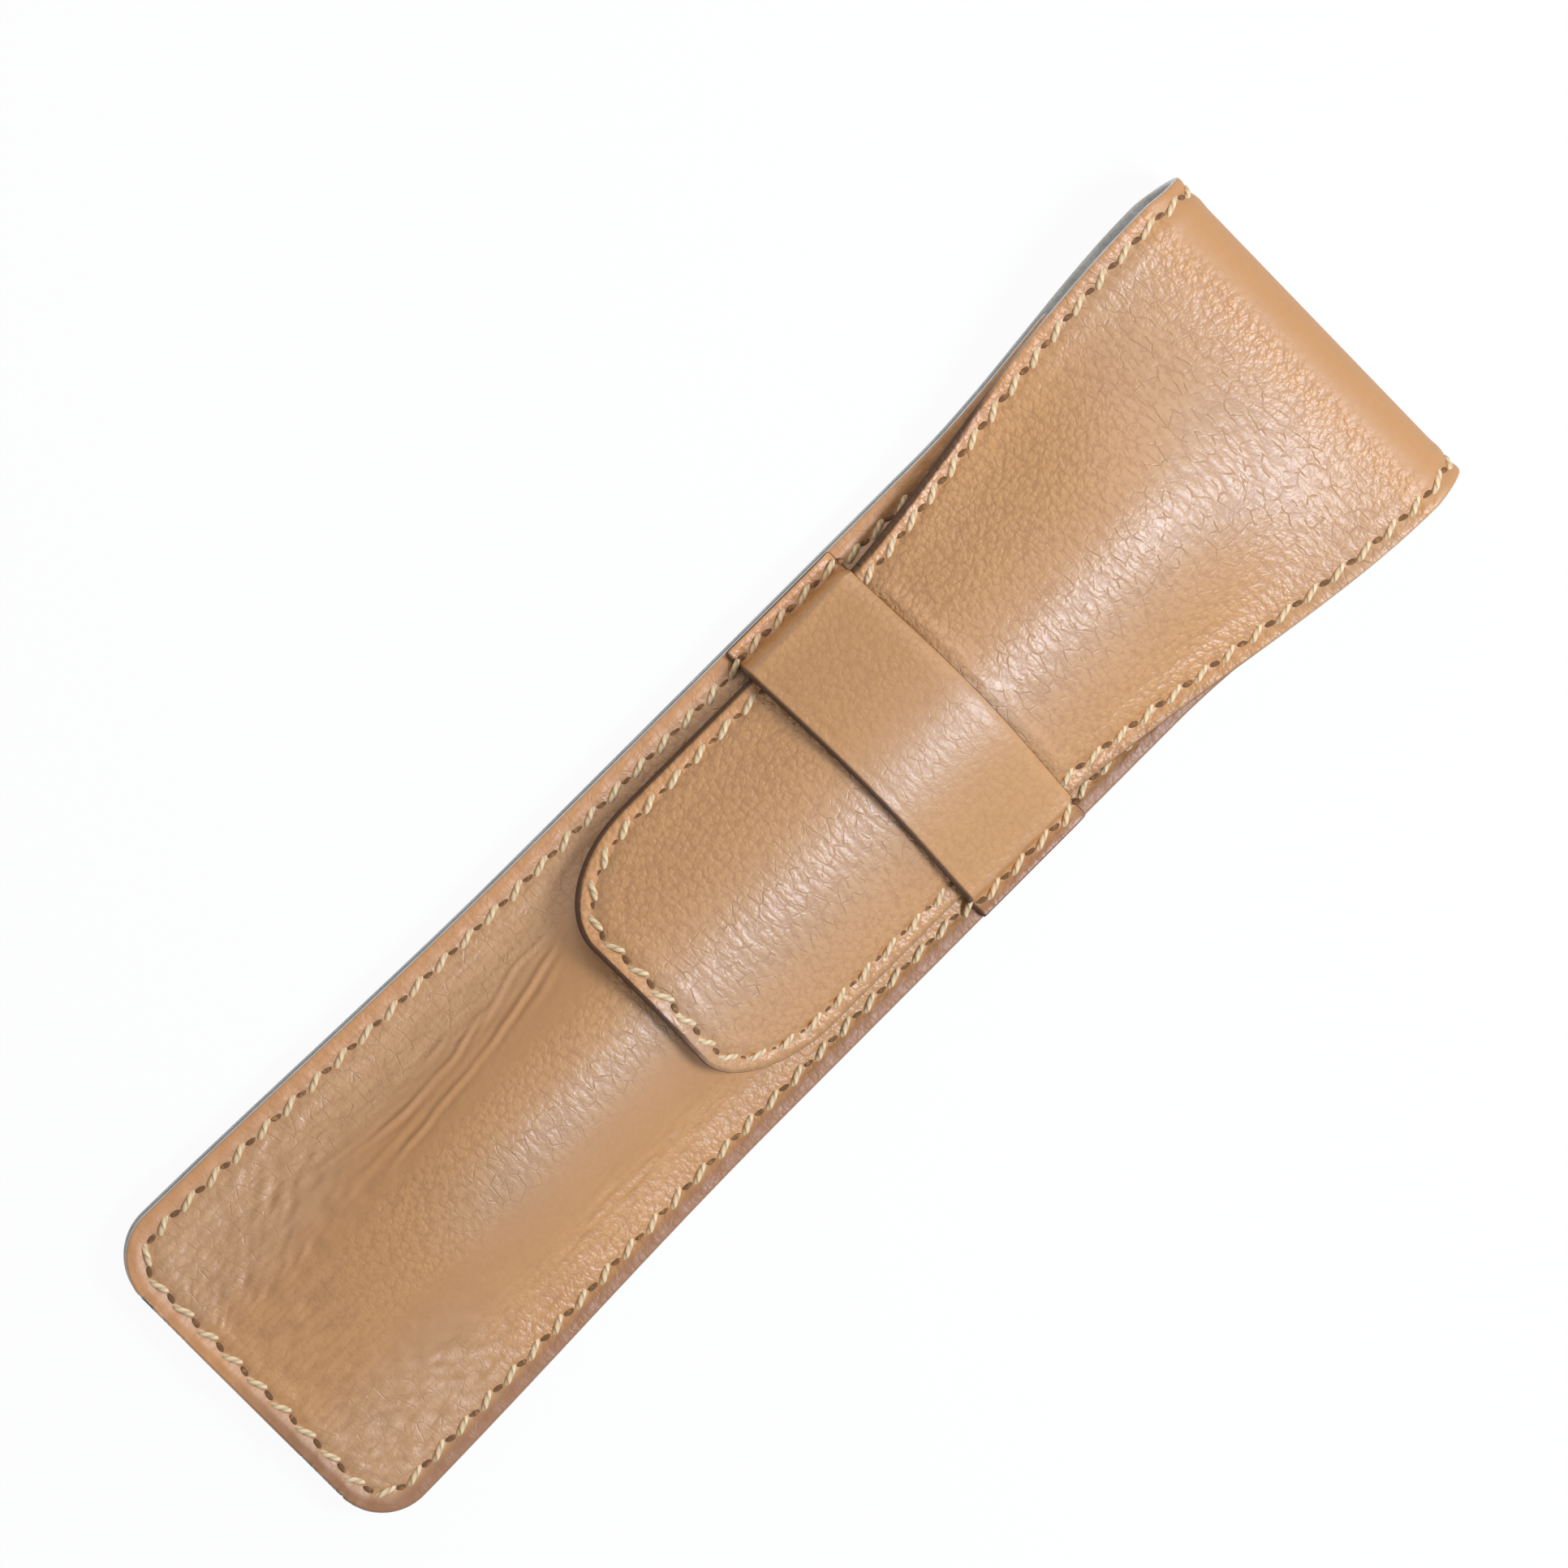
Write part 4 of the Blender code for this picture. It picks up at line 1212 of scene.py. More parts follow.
def flap_leather(name, rows, flat_rows):
    """The flap's leather over some rows: the flap with its half of the roll, or its tongue. It is
    drawn smooth over the roll, wrinkled below it and along its crown, painted pale as sheen where it is
    wrinkled across, and pushed up at the band."""
    outline = flap_outline()
    half_width = shape().tongue_width / 2
    shares = shares_across(half_width, seam_steps(half_width, LEATHER_STEP))
    x, y = spread_out(rows, shares, outline, LEATHER_ROUNDING)
    outer = flap_seat(x, y, FLAP_TOP_OFFSET)
    inner = flap_seat(x, y, FLAP_LEATHER_OFFSET)
    depth = outline.depth(x, y)
    relief = flap_seam().relief(x, y) + slack(x, y, 1.7) * smooth_step(FOLD_Y, FOLD_Y - 10 * MM, y)
    relief += ridge(PUSHED_UP, y - BAND_HIGH.y) * smooth_step(2.4 * MM, 4.5 * MM, depth)
    # The crown's share sits under the highlight; with the zone near the fold it also paints the flap pale
    # as sheen.
    crown = hump(3 * MM, 6.5 * MM, x) * smooth_step(FOLD_Y - 2 * MM, FOLD_Y - 14 * MM, y)
    near_fold = hump(FOLD_Y - 10 * MM, 9 * MM, y) * smooth_step(FOLD_Y - MM, FOLD_Y - 4 * MM, y)
    fields = {
        "hide_place": hide_places(outer, y),
        "hide_state": worked(x, smooth=0.92 * smooth_step(FOLD_Y - 1.2 * MM, FOLD_Y + 1.2 * MM, y),
                             cross_wrinkles_and_sheen=np.clip(0.85 * crown + 0.58 * near_fold, 0, 0.9)),
        "hide_burnish": edge_dye_and_gap_shadow(x, y, depth),
    }
    outer = outer + flap_normal(x, y, FLAP_TOP_OFFSET) * relief[..., None]
    return closed_sheet(name, outer, inner, fields, leather_finishes(edge="dark_dyed_edge"),
                        LEATHER_ROUNDING, flat_rows)


def flap_lining(name, rows, flat_rows):
    """The flap's lining over some rows, cut a little smaller than its leather."""
    shares = lining_shares(shape().tongue_width)
    x, y = spread_out(rows, shares, flap_outline(), LINING_ROUNDING + LINING_INSET)
    outer = flap_seat(x, y, FLAP_LINING_OFFSET + LINING)
    inner = flap_seat(x, y, FLAP_LINING_OFFSET)
    return lining_sheet(name, outer, inner, y, flat_rows)


def front_steps(x):
    """Steps across the pocket's front, finer along its seams and at its creases."""
    step = np.where((x > LEFT_CREASES[0]) & (x < LEFT_CREASES[1]), CREASE_STEP, FRONT_STEP)
    step = np.where((x > RIGHT_CREASES[0]) & (x < RIGHT_CREASES[1]), FINE_STEP, step)
    return np.where(np.abs(x) > shape().waist_width / 2 - SEAM_ZONE, FINE_STEP, step)


def front_state(x, y, depth):
    """How the pocket's front is worked: drawn smooth on the flanks of its bulge and outside its
    seam, wrinkled along its length beside and below the bulge, and across it on the crown, on its left side
    and at its lower corners, where it is also painted pale as sheen."""
    reach = np.abs(x)
    flank = within(SMOOTH_FLANK, reach) * smooth_step(-72 * MM, -58 * MM, y)
    below = smooth_step(-52 * MM, -62 * MM, y)
    margin = smooth_step(2.4 * MM, 1.4 * MM, depth)
    gathers = smooth_step(-61 * MM, -69 * MM, y) * smooth_step(16 * MM, 10 * MM, reach)
    # The crown's share sits where the highlight falls, and paints it pale as sheen as well as wrinkling it.
    crown = hump(2.5 * MM, 4.2 * MM, x) * smooth_step(-58 * MM, -42 * MM, y)
    # Painted sheen: the left side and the lower corners are painted paler, besides their wrinkles.
    worn_and_sheen = np.clip(smooth_step(8 * MM, 13 * MM, -x) + below * smooth_step(5 * MM, 11 * MM, reach), 0, 1)
    beside = within(DRAWN_BESIDE, reach)
    return worked(
        x, smooth=0.8 * np.clip(flank + 0.2 * below + 0.6 * margin, 0, 1),
        long_wrinkles=np.clip(0.5 * beside + 0.3 * below + 0.5 * gathers, 0, 0.85),
        cross_wrinkles_and_sheen=np.clip(0.8 * crown + 0.45 * worn_and_sheen, 0, 0.85))


def front_leather():
    """The pocket's bulged front, from its bottom seam up to the mouth, creased where it was bent."""
    outline = case_outline()
    shares = shares_across(shape().waist_width / 2, front_steps)
    rows = rows_up(BOTTOM_Y + LEATHER_ROUNDING, MOUTH_Y - LEATHER_ROUNDING, FRONT_ROW_STEP)
    x, y = spread_out(rows, shares, outline, LEATHER_ROUNDING)
    outer = dome_seat(x, y, FRONT_TOP_OFFSET)
    inner = dome_seat(x, y, FRONT_LEATHER_OFFSET)
    depth = outline.depth(x, y)
    relief = case_seam().relief(x, y) - ridge(MOUTH_GROOVE, MOUTH_Y - y)
    relief += crease_relief(x, y) + body_wrinkles(x, y) + slack(x, y, 4.2)
    fields = {
        "hide_place": hide_places(outer, y + FRONT_HIDE_START),
        "hide_state": front_state(x, y, depth),
        "hide_burnish": burnish(x, depth),
    }
    outer = outer + dome_normal(x, y, FRONT_TOP_OFFSET, no_lift) * relief[..., None]
    return closed_sheet("front_leather_sheet", outer, inner, fields, leather_finishes(), LEATHER_ROUNDING)


def front_lining():
    """The lining inside the pocket's front."""
    rows = steps_between(BOTTOM_Y + LINING_ROUNDING, MOUTH_Y - LINING_ROUNDING, LINING_STEP)
    x, y = spread_out(rows, lining_shares(shape().waist_width), case_outline(), LINING_ROUNDING)
    return lining_sheet("front_lining_sheet", dome_seat(x, y, LINING), dome_seat(x, y, 0), y)


def band_leather():
    """The band, which arches over the tongue and is sewn down at both ends. Its lower edge is dyed and
    painted dark as the shadow under it, its upper edge pared thin, and a faint line is pressed along both."""
    half_width = shape().waist_width / 2
    shares = shares_across(half_width, seam_steps(half_width, LEATHER_STEP, BAND_STEP))
    rows = steps_between(BAND_LOW.y + LEATHER_ROUNDING, BAND_HIGH.y - LEATHER_ROUNDING, BAND_ROW_STEP)
    outline = case_outline()
    x, y = spread_out(rows, shares, outline, LEATHER_ROUNDING)
    under, top = band_offsets(x, y)
    outer, inner = dome_seat(x, y, top), dome_seat(x, y, under)
    burnish_and_shade_values = burnish(x, outline.depth(x, y) + band_bow(y))
    # Dark along the lower edge: partly dye, partly the painted shadow under the band.
    burnish_and_shade_values[..., 2] = 0.9 * smooth_step(0.55 * MM, 0.4 * MM, y - BAND_LOW.y)
    relief = case_seam(band_bow).relief(x, y, 1.2, 0.3) + slack(x, y, 5.5)
    relief -= ridge(BAND_GROOVE, np.minimum(y - BAND_LOW.y, BAND_HIGH.y - y))
    relief -= ridge(BAND_PARING, BAND_HIGH.y - y)
    fields = {
        "hide_place": hide_places(outer, y + BAND_HIDE_START),
        # The middle of the band is also painted pale as sheen.
        "hide_state": worked(x, smooth=0.15, cross_wrinkles_and_sheen=0.7 * hump(1.5 * MM, 5 * MM, x)),
        "hide_burnish": burnish_and_shade_values,
    }
    outer = outer + sheet_normals(outer) * relief[..., None]
    finishes = leather_finishes("band_smooth_leather", "dark_dyed_edge")
    return closed_sheet("retaining_band_sheet", outer, inner, fields, finishes, LEATHER_ROUNDING)


# The stitches


def stored(tree, geometry, name, value, data_type):
    """Geometry that carries a value under a name."""
    return first_output(tree, "GeometryNodeStoreNamedAttribute",
                        {0: geometry, "Name": name, "Value": value}, data_type=data_type)


def laid_thread(tree, given):
    """One stitch: a round thread that stands proud in its middle and sinks at its thinner ends."""
    line = first_output(tree, "GeometryNodeCurvePrimitiveLine", {"End": (1, 0, 0)})
    line = first_output(tree, "GeometryNodeResampleCurve", {0: line, "Count": 9})
    factor = node(tree, "GeometryNodeSplineParameter").outputs["Factor"]
    reach = maths(tree, "ABSOLUTE", maths(tree, "SUBTRACT", maths(tree, "MULTIPLY", factor, 2.0), 1.0))
    fall = maths(tree, "MULTIPLY", maths(tree, "POWER", reach, 4.0),
                 maths(tree, "ADD", given["Thread Rise"], given["Thread Sink"]))
    height = maths(tree, "SUBTRACT", given["Thread Rise"], fall)
    run = maths(tree, "MULTIPLY", maths(tree, "SUBTRACT", factor, 0.5), given["Stitch Length"])
    place = first_output(tree, "ShaderNodeCombineXYZ", {0: run, 2: height})
    line = stored(tree, line, "thread_run", run, "FLOAT")
    line = first_output(tree, "GeometryNodeSetPosition", {0: line, "Position": place})
    radius = maths(tree, "DIVIDE", given["Thread Diameter"], 2.0)
    profile = first_output(tree, "GeometryNodeCurvePrimitiveCircle", {"Resolution": 8, "Radius": radius})
    round_place = first_output(tree, "GeometryNodeInputPosition")
    profile = stored(tree, profile, "thread_round", round_place, "FLOAT_VECTOR")
    taper = maths(tree, "SUBTRACT", 1.0, maths(tree, "MULTIPLY", maths(tree, "POWER", reach, 3.0), 0.3))
    thread = first_output(tree, "GeometryNodeCurveToMesh",
                          {0: line, 1: profile, "Scale": taper, "Fill Caps": True})
    return first_output(tree, "GeometryNodeSetMaterial", {0: thread, "Material": given["Thread"]})


def needle_hole(tree, given):
    """One needle hole: a shallow dark lens."""
    lens = first_output(tree, "GeometryNodeMeshUVSphere", {"Segments": 12, "Rings": 6, "Radius": 0.5})
    size = first_output(tree, "ShaderNodeCombineXYZ",
                        {0: given["Hole Length"], 1: given["Hole Width"], 2: given["Hole Depth"]})
    lens = first_output(tree, "GeometryNodeTransform", {0: lens, "Scale": size})
    return first_output(tree, "GeometryNodeSetMaterial", {0: lens, "Material": given["Hole"]})


def stitch_tree():
    """Slanted stitches and needle holes along a path whose points carry the leather's normal."""
    found = bpy.data.node_groups.get("saddle_stitches")
    if found:
        return found
    defaults = (("Stitch Length", 0.0024), ("Thread Diameter", 0.0005), ("Thread Rise", 0.0001),
                ("Thread Sink", 0.0003), ("Hole Length", 0.0012), ("Hole Width", 0.0006),
                ("Hole Depth", 0.00008), ("Slant", 0.4), ("Hole Slant", -0.25), ("Scatter", 0.06))
    tree, given, result = group_tree(
        "saddle_stitches", "GeometryNodeTree",
        [("Path", "NodeSocketGeometry", None), ("Stitches", "NodeSocketInt", 10),
         *((label, "NodeSocketFloat", default) for label, default in defaults),
         ("Seed", "NodeSocketInt", 3), ("Thread", "NodeSocketMaterial", None),
         ("Hole", "NodeSocketMaterial", None)],
        [("Geometry", "NodeSocketGeometry")])
    path = first_output(tree, "GeometryNodeMeshToCurve", {0: given["Path"]})
    normal = first_output(tree, "GeometryNodeInputNamedAttribute", {"Name": "leather_normal"},
                          data_type="FLOAT_VECTOR")
    tangent = first_output(tree, "GeometryNodeInputTangent")
    upright = first_output(tree, "FunctionNodeAxesToRotation", {0: normal, 1: tangent})

    def chance(low, high, seed):
        made = node(tree, "FunctionNodeRandomValue", data_type="FLOAT")
        made.inputs[2].default_value, made.inputs[3].default_value = low, high
        tree.links.new(maths(tree, "ADD", given["Seed"], seed), made.inputs["Seed"])
        return made.outputs[1]

    def on_points(points, piece, slant, scatter, **inputs):
        angle = maths(tree, "ADD", slant, maths(tree, "MULTIPLY", given["Scatter"], scatter))
        about = first_output(tree, "FunctionNodeAxisAngleToRotation", {"Axis": (0, 0, 1), "Angle": angle})
        turned = first_output(tree, "FunctionNodeRotateRotation", {0: upright, 1: about},
                              rotation_space="LOCAL")
        return first_output(tree, "GeometryNodeInstanceOnPoints",
                            {0: points, "Instance": piece, "Rotation": turned, **inputs})

    half_step = maths(tree, "DIVIDE", 0.5, given["Stitches"])
    trimmed = first_output(tree, "GeometryNodeTrimCurve",
                           {0: path, 2: half_step, 3: maths(tree, "SUBTRACT", 1.0, half_step)})
    middles = first_output(tree, "GeometryNodeResampleCurve", {0: trimmed, "Count": given["Stitches"]})
    hole_count = maths(tree, "ADD", given["Stitches"], 1.0)
    places = first_output(tree, "GeometryNodeResampleCurve", {0: path, "Count": hole_count})
    size = first_output(tree, "ShaderNodeCombineXYZ", {0: chance(0.93, 1.05, 1.0), 1: 1.08, 2: 0.88})
    stitches = on_points(middles, laid_thread(tree, given), given["Slant"], chance(-1.0, 1.0, 0.0),
                         Scale=size)
    holes = on_points(places, needle_hole(tree, given), given["Hole Slant"], chance(-1.5, 1.5, 2.0))
    both = tree.nodes.new("GeometryNodeJoinGeometry")
    tree.links.new(holes, both.inputs[0])
    tree.links.new(stitches, both.inputs[0])
    real = first_output(tree, "GeometryNodeRealizeInstances", {0: both.outputs[0]})
    tree.links.new(first_output(tree, "GeometryNodeSetShadeSmooth", {0: real}), result[0])
    arrange(tree)
    return tree


def behind(sizes):
    """The sizes of stitches on a hidden face, where they and their holes slant the other way."""
    return {**sizes, "Slant": BACK_SLANT, "Hole Slant": -stitching().hole_slant}


def sewn(name, points, normals, count, seed, sizes):
    """The stitches and holes along a run of points, as a plain mesh."""
    sewing = stitching()
    mesh = bpy.data.meshes.new(name + "_path")
    mesh.from_pydata(points.tolist(), [(n, n + 1) for n in range(len(points) - 1)], [])
    give_vectors(mesh, "leather_normal", normals)
    path = placed(name + "_path", mesh)
    laid = path.modifiers.new("stitches", "NODES")
    laid.node_group = stitch_tree()
    values = {
        "Stitches": count, "Stitch Length": sewing.stitch, "Thread Diameter": sewing.thread,
        "Hole Length": sewing.hole_length, "Hole Width": sewing.hole_width,
        "Slant": sewing.slant, "Hole Slant": sewing.hole_slant, "Seed": seed,
        "Thread": finish("cream_waxed_thread"), "Hole": finish("needle_hole_shadow"), **sizes}
    for item in laid.node_group.interface.items_tree:
        if item.in_out == "INPUT" and item.name in values:
            laid[item.identifier] = values[item.name]
    bpy.context.view_layer.update()
    evaluated = path.evaluated_get(bpy.context.evaluated_depsgraph_get())
    made = placed(name, bpy.data.meshes.new_from_object(evaluated))
    made.data.name = name
    bpy.data.objects.remove(path)
    return made


def joined(pieces):
    """Several pieces as one, under the first one's name."""
    with bpy.context.temp_override(active_object=pieces[0], selected_editable_objects=pieces):
        bpy.ops.object.join()
    return pieces[0]


def smoothed(values, reach):
    """Values along a path, eased over a distance to both sides."""
    return averaged(values, max(int(reach / PATH_STEP), 1))


def highest_near(values, reach):
    """The highest of the values along a path, over a distance to both sides."""
    count = max(int(reach / PATH_STEP), 1)
    padded = np.pad(values, count, mode="edge")
    return np.max([padded[n:n + len(values)] for n in range(2 * count + 1)], axis=0)


def case_top(x, y):
    """The height of the top face of the pocket's edge: the band, the front or the lining."""
    front = dome_seat(x, y, FRONT_TOP_OFFSET)[..., 2]
    band = dome_seat(x, y, band_offsets(x, y)[1])[..., 2]
    height = np.where(y <= MOUTH_Y, front, LINING_HIGH.z)
    return np.where((y >= BAND_LOW.y) & (y <= BAND_HIGH.y), band, height)


def facing(x, y, height):
    """The points of a path and a normal for each, tipped with the slope along the path."""
    points = np.stack([x, y, height], axis=-1)
    along = np.gradient(points, axis=0)
    side = np.cross(along, [0, 0, 1])
    normal = np.cross(side, along)
    return points, normal / np.linalg.norm(normal, axis=1, keepdims=True)


# Operators


def dress(piece, slot, *nodes):
    """Hides the CAD nodes in whose place a piece stands; the piece and the slot are not used."""
    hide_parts(*nodes)


def dress_pair(leather, lining, *places):
    """Hides the CAD nodes of these places, where a leather sheet and its lining stand."""
    dress(leather, "tan_leather", *(place + "_leather" for place in places))
    dress(lining, "grey_lining", *(place + "_lining" for place in places))


def bend(piece, first, second, line):
    """Bakes a piece's placement into its mesh; the two bodies and the bend line are not used."""
    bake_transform(piece)


class PENCASE_OT_back(bpy.types.Operator):
    """Makes the back of the case with the lower half of its fold"""

    bl_idname = "pencase.back"
    bl_label = "Back and Fold"

    def execute(self, context):
        leather, lining = back_leather(), back_lining()
        bend(leather, "case", "fold", LOWER_BEND)
        bend(lining, "case", "fold", LOWER_BEND)
        dress_pair(leather, lining, "back", "fold")
        return {"FINISHED"}


class PENCASE_OT_flap(bpy.types.Operator):
    """Makes the flap with the upper half of its fold"""

    bl_idname = "pencase.flap"
    bl_label = "Flap and Fold"

    def execute(self, context):
        rows = over_roll(steps_between(TONGUE_ROOT_Y, FOLD_Y, ROW_STEP))
        leather = flap_leather("flap_leather_sheet", rows, (0, -1))
        rows = over_roll(steps_between(TONGUE_ROOT_Y, FOLD_Y, LINING_STEP))
        lining = flap_lining("flap_lining_sheet", rows, (0, -1))
        bend(leather, "fold", "flap", UPPER_BEND)
        bend(lining, "fold", "flap", UPPER_BEND)
        dress_pair(leather, lining, "flap")
        return {"FINISHED"}


class PENCASE_OT_tongue(bpy.types.Operator):
    """Makes the tongue that the band holds"""

    bl_idname = "pencase.tongue"
    bl_label = "Tongue"

    def execute(self, context):
        rows = rows_up(TONGUE_END_Y + LEATHER_ROUNDING, TONGUE_ROOT_Y)
        leather = flap_leather("tongue_leather_sheet", rows, (-1,))
        rows = rows_up(TONGUE_END_Y + LINING_ROUNDING + LINING_INSET, TONGUE_ROOT_Y, LINING_STEP)
        lining = flap_lining("tongue_lining_sheet", rows, (-1,))
        bend(leather, "flap", "tongue", TONGUE_BEND)
        bend(lining, "flap", "tongue", TONGUE_BEND)
        dress_pair(leather, lining, "tongue")
        return {"FINISHED"}


class PENCASE_OT_front(bpy.types.Operator):
    """Makes the pocket's bulged front, creased where it has been bent"""

    bl_idname = "pencase.front"
    bl_label = "Pocket Front"

    def execute(self, context):
        leather, lining = front_leather(), front_lining()
        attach(leather, "case")
        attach(lining, "case")
        dress_pair(leather, lining, "front")
        return {"FINISHED"}


class PENCASE_OT_band(bpy.types.Operator):
    """Makes the band across the front"""

    bl_idname = "pencase.band"
    bl_label = "Band"

    def execute(self, context):
        band = band_leather()
        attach(band, "case")
        dress(band, "band_leather", "retaining_band")
        return {"FINISHED"}


class PENCASE_OT_case_stitches(bpy.types.Operator):
    """Sews round the case, through its front, its band and its back"""

    bl_idname = "pencase.case_stitches"
    bl_label = "Case Stitches"

    def execute(self, context):
        sewing = stitching()
        seam = case_seam(band_bow)
        left, right = seam.holes_above(FOLD_Y - sewing.seam_to_fold)
        x, y = seam.stretch(left + 1, right - 1).T
        height = smoothed(highest_near(case_top(x, y), 0.6 * MM), 0.7 * MM)
        points, normals = facing(x, y, height - sewing.press)
        front = sewn("case_seam_stitches", points, normals, right - left - 2, FRONT_SEED, PROUD_STITCH)
        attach(front, "case")
        dress(front, "cream_thread", "case_seam_front_thread")
        seam = case_seam()
        x, y = seam.stretch(0, seam.count).T
        press = sewing.press * (BACK_PRESS + (1 - BACK_PRESS) * smooth_step(FOLD_Y, ROLL_TOP, y))
        points, normals = back_seat(x, y, press), back_normal(x, y)
        back = sewn("case_back_seam_stitches", points, normals, seam.count, BACK_SEED, behind(LEVEL_STITCH))
        bend(back, "case", "fold", LOWER_BEND)
        dress(back, "cream_thread", "case_seam_back_thread")
        return {"FINISHED"}


def sewn_runs(name, offset, side, stretches, sizes):
    """Stitches along stretches of the flap's seam, on its outer or its inner face, as one piece."""
    seam, runs = flap_seam(), []
    for number, (first, last) in enumerate(stretches):
        x, y = seam.stretch(first, last).T
        points, normals = flap_seat(x, y, offset), side * flap_normal(x, y, offset)
        runs.append(sewn(f"{name}_{number}", points, normals, last - first, FLAP_SEED + number, sizes))
    made = joined(runs)
    made.name = made.data.name = name
    return made


class PENCASE_OT_flap_stitches(bpy.types.Operator):
    """Sews round the flap and its tongue, through the leather and the lining"""

    bl_idname = "pencase.flap_stitches"
    bl_label = "Flap Stitches"

    def execute(self, context):
        seam = flap_seam()
        left, right = seam.holes_above(TONGUE_ROOT_Y)
        left_fold, right_fold = seam.holes_above(FOLD_Y)
        outside, inside = (FLAP_TOP_OFFSET - stitching().press, 1), (FLAP_LINING_OFFSET, -1)
        to_tongue, round_tongue = ((0, left), (right, seam.count)), ((left, right),)
        off_roll = ((left_fold + 1, left), (right, right_fold - 1))
        flap = sewn_runs("flap_seam_stitches", *outside, to_tongue, PROUD_STITCH)
        bend(flap, "fold", "flap", UPPER_BEND)
        dress(flap, "cream_thread", "flap_seam_left_thread", "flap_seam_right_thread")
        tongue = sewn_runs("tongue_seam_stitches", *outside, round_tongue, PROUD_STITCH)
        bend(tongue, "flap", "tongue", TONGUE_BEND)
        dress(tongue, "cream_thread", "tongue_seam_thread")
        flap = sewn_runs("flap_lining_stitches", *inside, off_roll, behind(INNER_STITCH))
        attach(flap, "flap")
        tongue = sewn_runs("tongue_lining_stitches", *inside, round_tongue, behind(INNER_STITCH))
        bend(tongue, "flap", "tongue", TONGUE_BEND)
        return {"FINISHED"}


class PENCASE_OT_stage(bpy.types.Operator):
    """Sets the pale floor, the soft lights and the camera"""

    bl_idname = "pencase.stage"
    bl_label = "Floor, Lights and Camera"

    def execute(self, context):
        make_floor()
        make_lights()
        make_camera()
        return {"FINISHED"}


def seen_directly(tree):
    """1 for the rays that show a surface, straight or in gloss or glass, and 0 for its light."""
    rays = node(tree, "ShaderNodeLightPath").outputs
    return maths(tree, "MAXIMUM", rays["Is Camera Ray"],
                 maths(tree, "MAXIMUM", rays["Is Glossy Ray"], rays["Is Transmission Ray"]))


def white_for_camera(tree, shader, share):
    """A shader that the camera, gloss and glass see as mostly white."""
    glow = first_output(tree, "ShaderNodeEmission", {"Color": (1, 1, 1, 1), "Strength": 1.0})
    white = maths(tree, "MULTIPLY", seen_directly(tree), share)
    return first_output(tree, "ShaderNodeMixShader", {0: white, 1: shader, 2: glow})


def make_floor():
    """A wide pale floor under the case."""
    mesh = bpy.data.meshes.new("floor")
    size, low = FLOOR_HALF_SIZE, FLOOR_Z
    mesh.from_pydata([(-size, -size, low), (size, -size, low), (size, size, low), (-size, size, low)],
                     [], [(0, 1, 2, 3)])
    made, tree, shader = new_material("pale_floor")
    shader.inputs["Base Color"].default_value = (*colours().floor, 1)
    shader.inputs["Roughness"].default_value = 0.9
    output = next(n for n in tree.nodes if n.type == "OUTPUT_MATERIAL")
    white = white_for_camera(tree, shader.outputs[0], FLOOR_WHITE_SHARE)
    tree.links.new(white, output.inputs["Surface"])
    arrange(tree)
    mesh.materials.append(made)
    placed("floor", mesh)


def area_light(name, direction, distance, size, energy, colour):
    """A soft square light that looks at the case from a direction."""
    data = bpy.data.lights.new(name, "AREA")
    data.size, data.energy, data.color = size, energy, colour
    light = placed(name, data)
    light.location = Vector(direction).normalized() * distance
    light.rotation_euler = Vector(direction).to_track_quat("Z", "Y").to_euler()


def make_lights():
    """A pale world, a soft key light from the right of the case and a weak fill."""
    world = bpy.data.worlds.new("studio")
    world.use_nodes = True
    tree = world.node_tree
    background = tree.nodes["Background"]
    background.inputs["Color"].default_value = (*WORLD_COLOUR, 1)
    glow = maths(tree, "MULTIPLY", seen_directly(tree), 1 - WORLD_STRENGTH)
    strength = maths(tree, "ADD", WORLD_STRENGTH, glow)
    tree.links.new(strength, background.inputs["Strength"])
    arrange(tree)
    bpy.context.scene.world = world
    for name, lamp in LAMPS.items():
        area_light(name, *lamp)


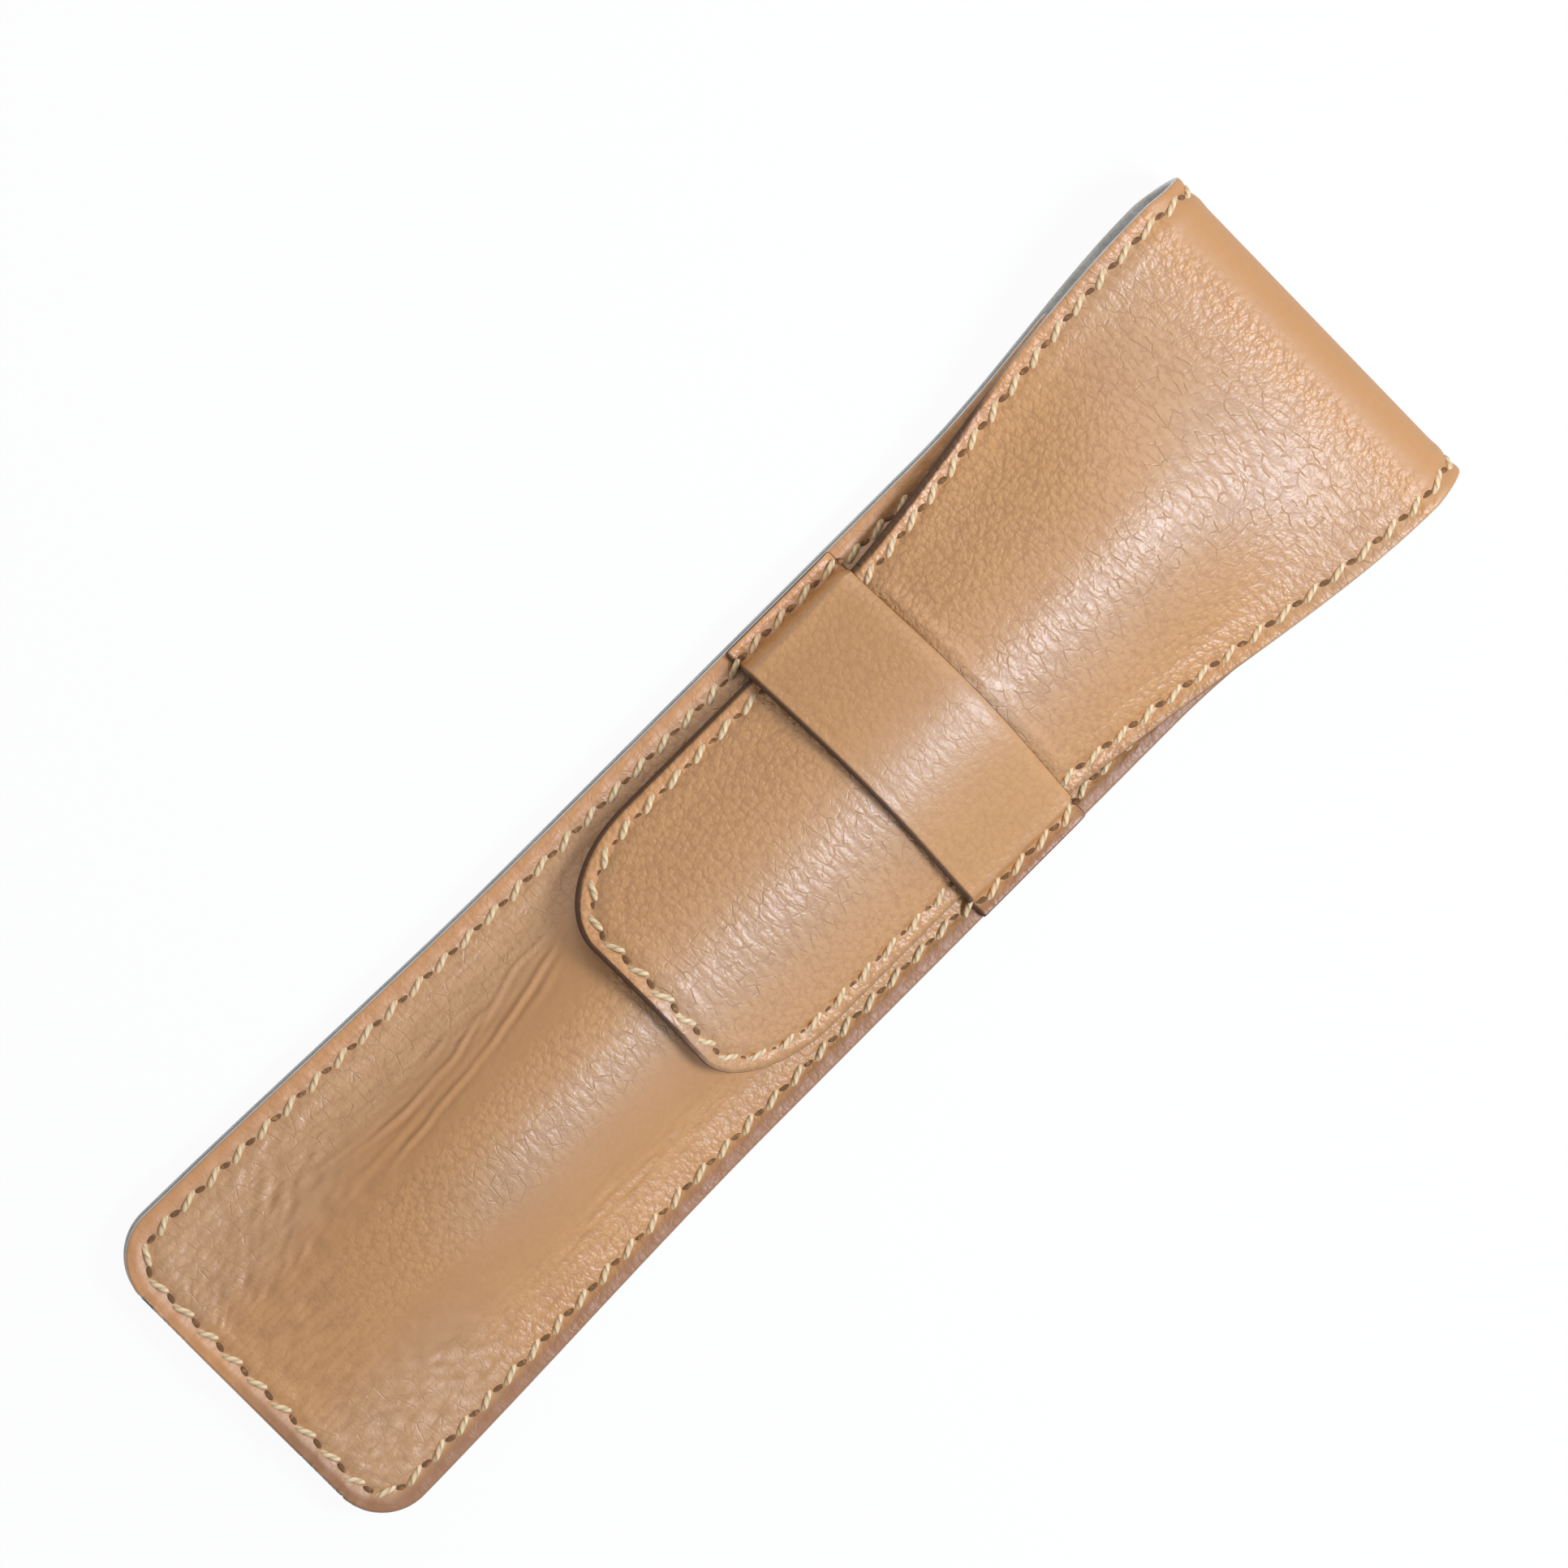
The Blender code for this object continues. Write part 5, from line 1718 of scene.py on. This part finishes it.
def make_camera():
    """A long lens over the case, tipped a little towards its left side, with the case lying from
    corner to corner in the view."""
    data = bpy.data.cameras.new("camera")
    data.lens, data.sensor_width = LENS, SENSOR
    camera = placed("camera", data)
    back = Vector(CAMERA_DIRECTION).normalized()
    along = (Vector((0, 1, 0)) - back * back.y).normalized()
    side = along.cross(back)
    right, up = (side + along).normalized(), (along - side).normalized()
    aim = Vector((0, 0, CAMERA_HEIGHT)) + up * CAMERA_RISE + side * CAMERA_SHIFT
    distance = VIEW_SIZE / 2 / (SENSOR / 2 / LENS)
    turn = Matrix((right, up, back)).transposed().to_4x4()
    camera.matrix_world = Matrix.Translation(aim + back * distance) @ turn
    bpy.context.scene.camera = camera
    bpy.context.scene.view_settings.view_transform = "Standard"


class PENCASE_PT_panel(bpy.types.Panel):
    """Lists the steps that make the pen case"""

    bl_idname = "PENCASE_PT_panel"
    bl_label = "Leather Pen Case"
    bl_space_type = "VIEW_3D"
    bl_region_type = "UI"
    bl_category = "Pen Case"

    def draw(self, context):
        layout = self.layout
        for label, group in (("Shape", shape()), ("Stitching", stitching()), ("Colours", colours())):
            box = layout.box()
            box.label(text=label)
            for name in group.__annotations__:
                box.prop(group, name)
        for operator in OPERATORS:
            layout.operator(operator.bl_idname)


GROUPS = {
    "pen_case_shape": PenCaseShape,
    "pen_case_stitching": PenCaseStitching,
    "pen_case_colours": PenCaseColours,
}
OPERATORS = (
    PENCASE_OT_stage, PENCASE_OT_back, PENCASE_OT_flap, PENCASE_OT_tongue, PENCASE_OT_front,
    PENCASE_OT_band, PENCASE_OT_case_stitches, PENCASE_OT_flap_stitches,
)


def register():
    """Registers the sizes, the operators and the panel."""
    for name, group in GROUPS.items():
        bpy.utils.register_class(group)
        setattr(bpy.types.Scene, name, bpy.props.PointerProperty(type=group))
    for operator in OPERATORS:
        bpy.utils.register_class(operator)
    bpy.utils.register_class(PENCASE_PT_panel)


def unregister():
    """Undoes register."""
    bpy.utils.unregister_class(PENCASE_PT_panel)
    for operator in reversed(OPERATORS):
        bpy.utils.unregister_class(operator)
    for name, group in GROUPS.items():
        delattr(bpy.types.Scene, name)
        bpy.utils.unregister_class(group)


def main():
    """Makes the stage and every piece of the case."""
    register()
    for operator in OPERATORS:
        category, name = operator.bl_idname.split(".")
        getattr(getattr(bpy.ops, category), name)()


if __name__ == "__main__":
    main()
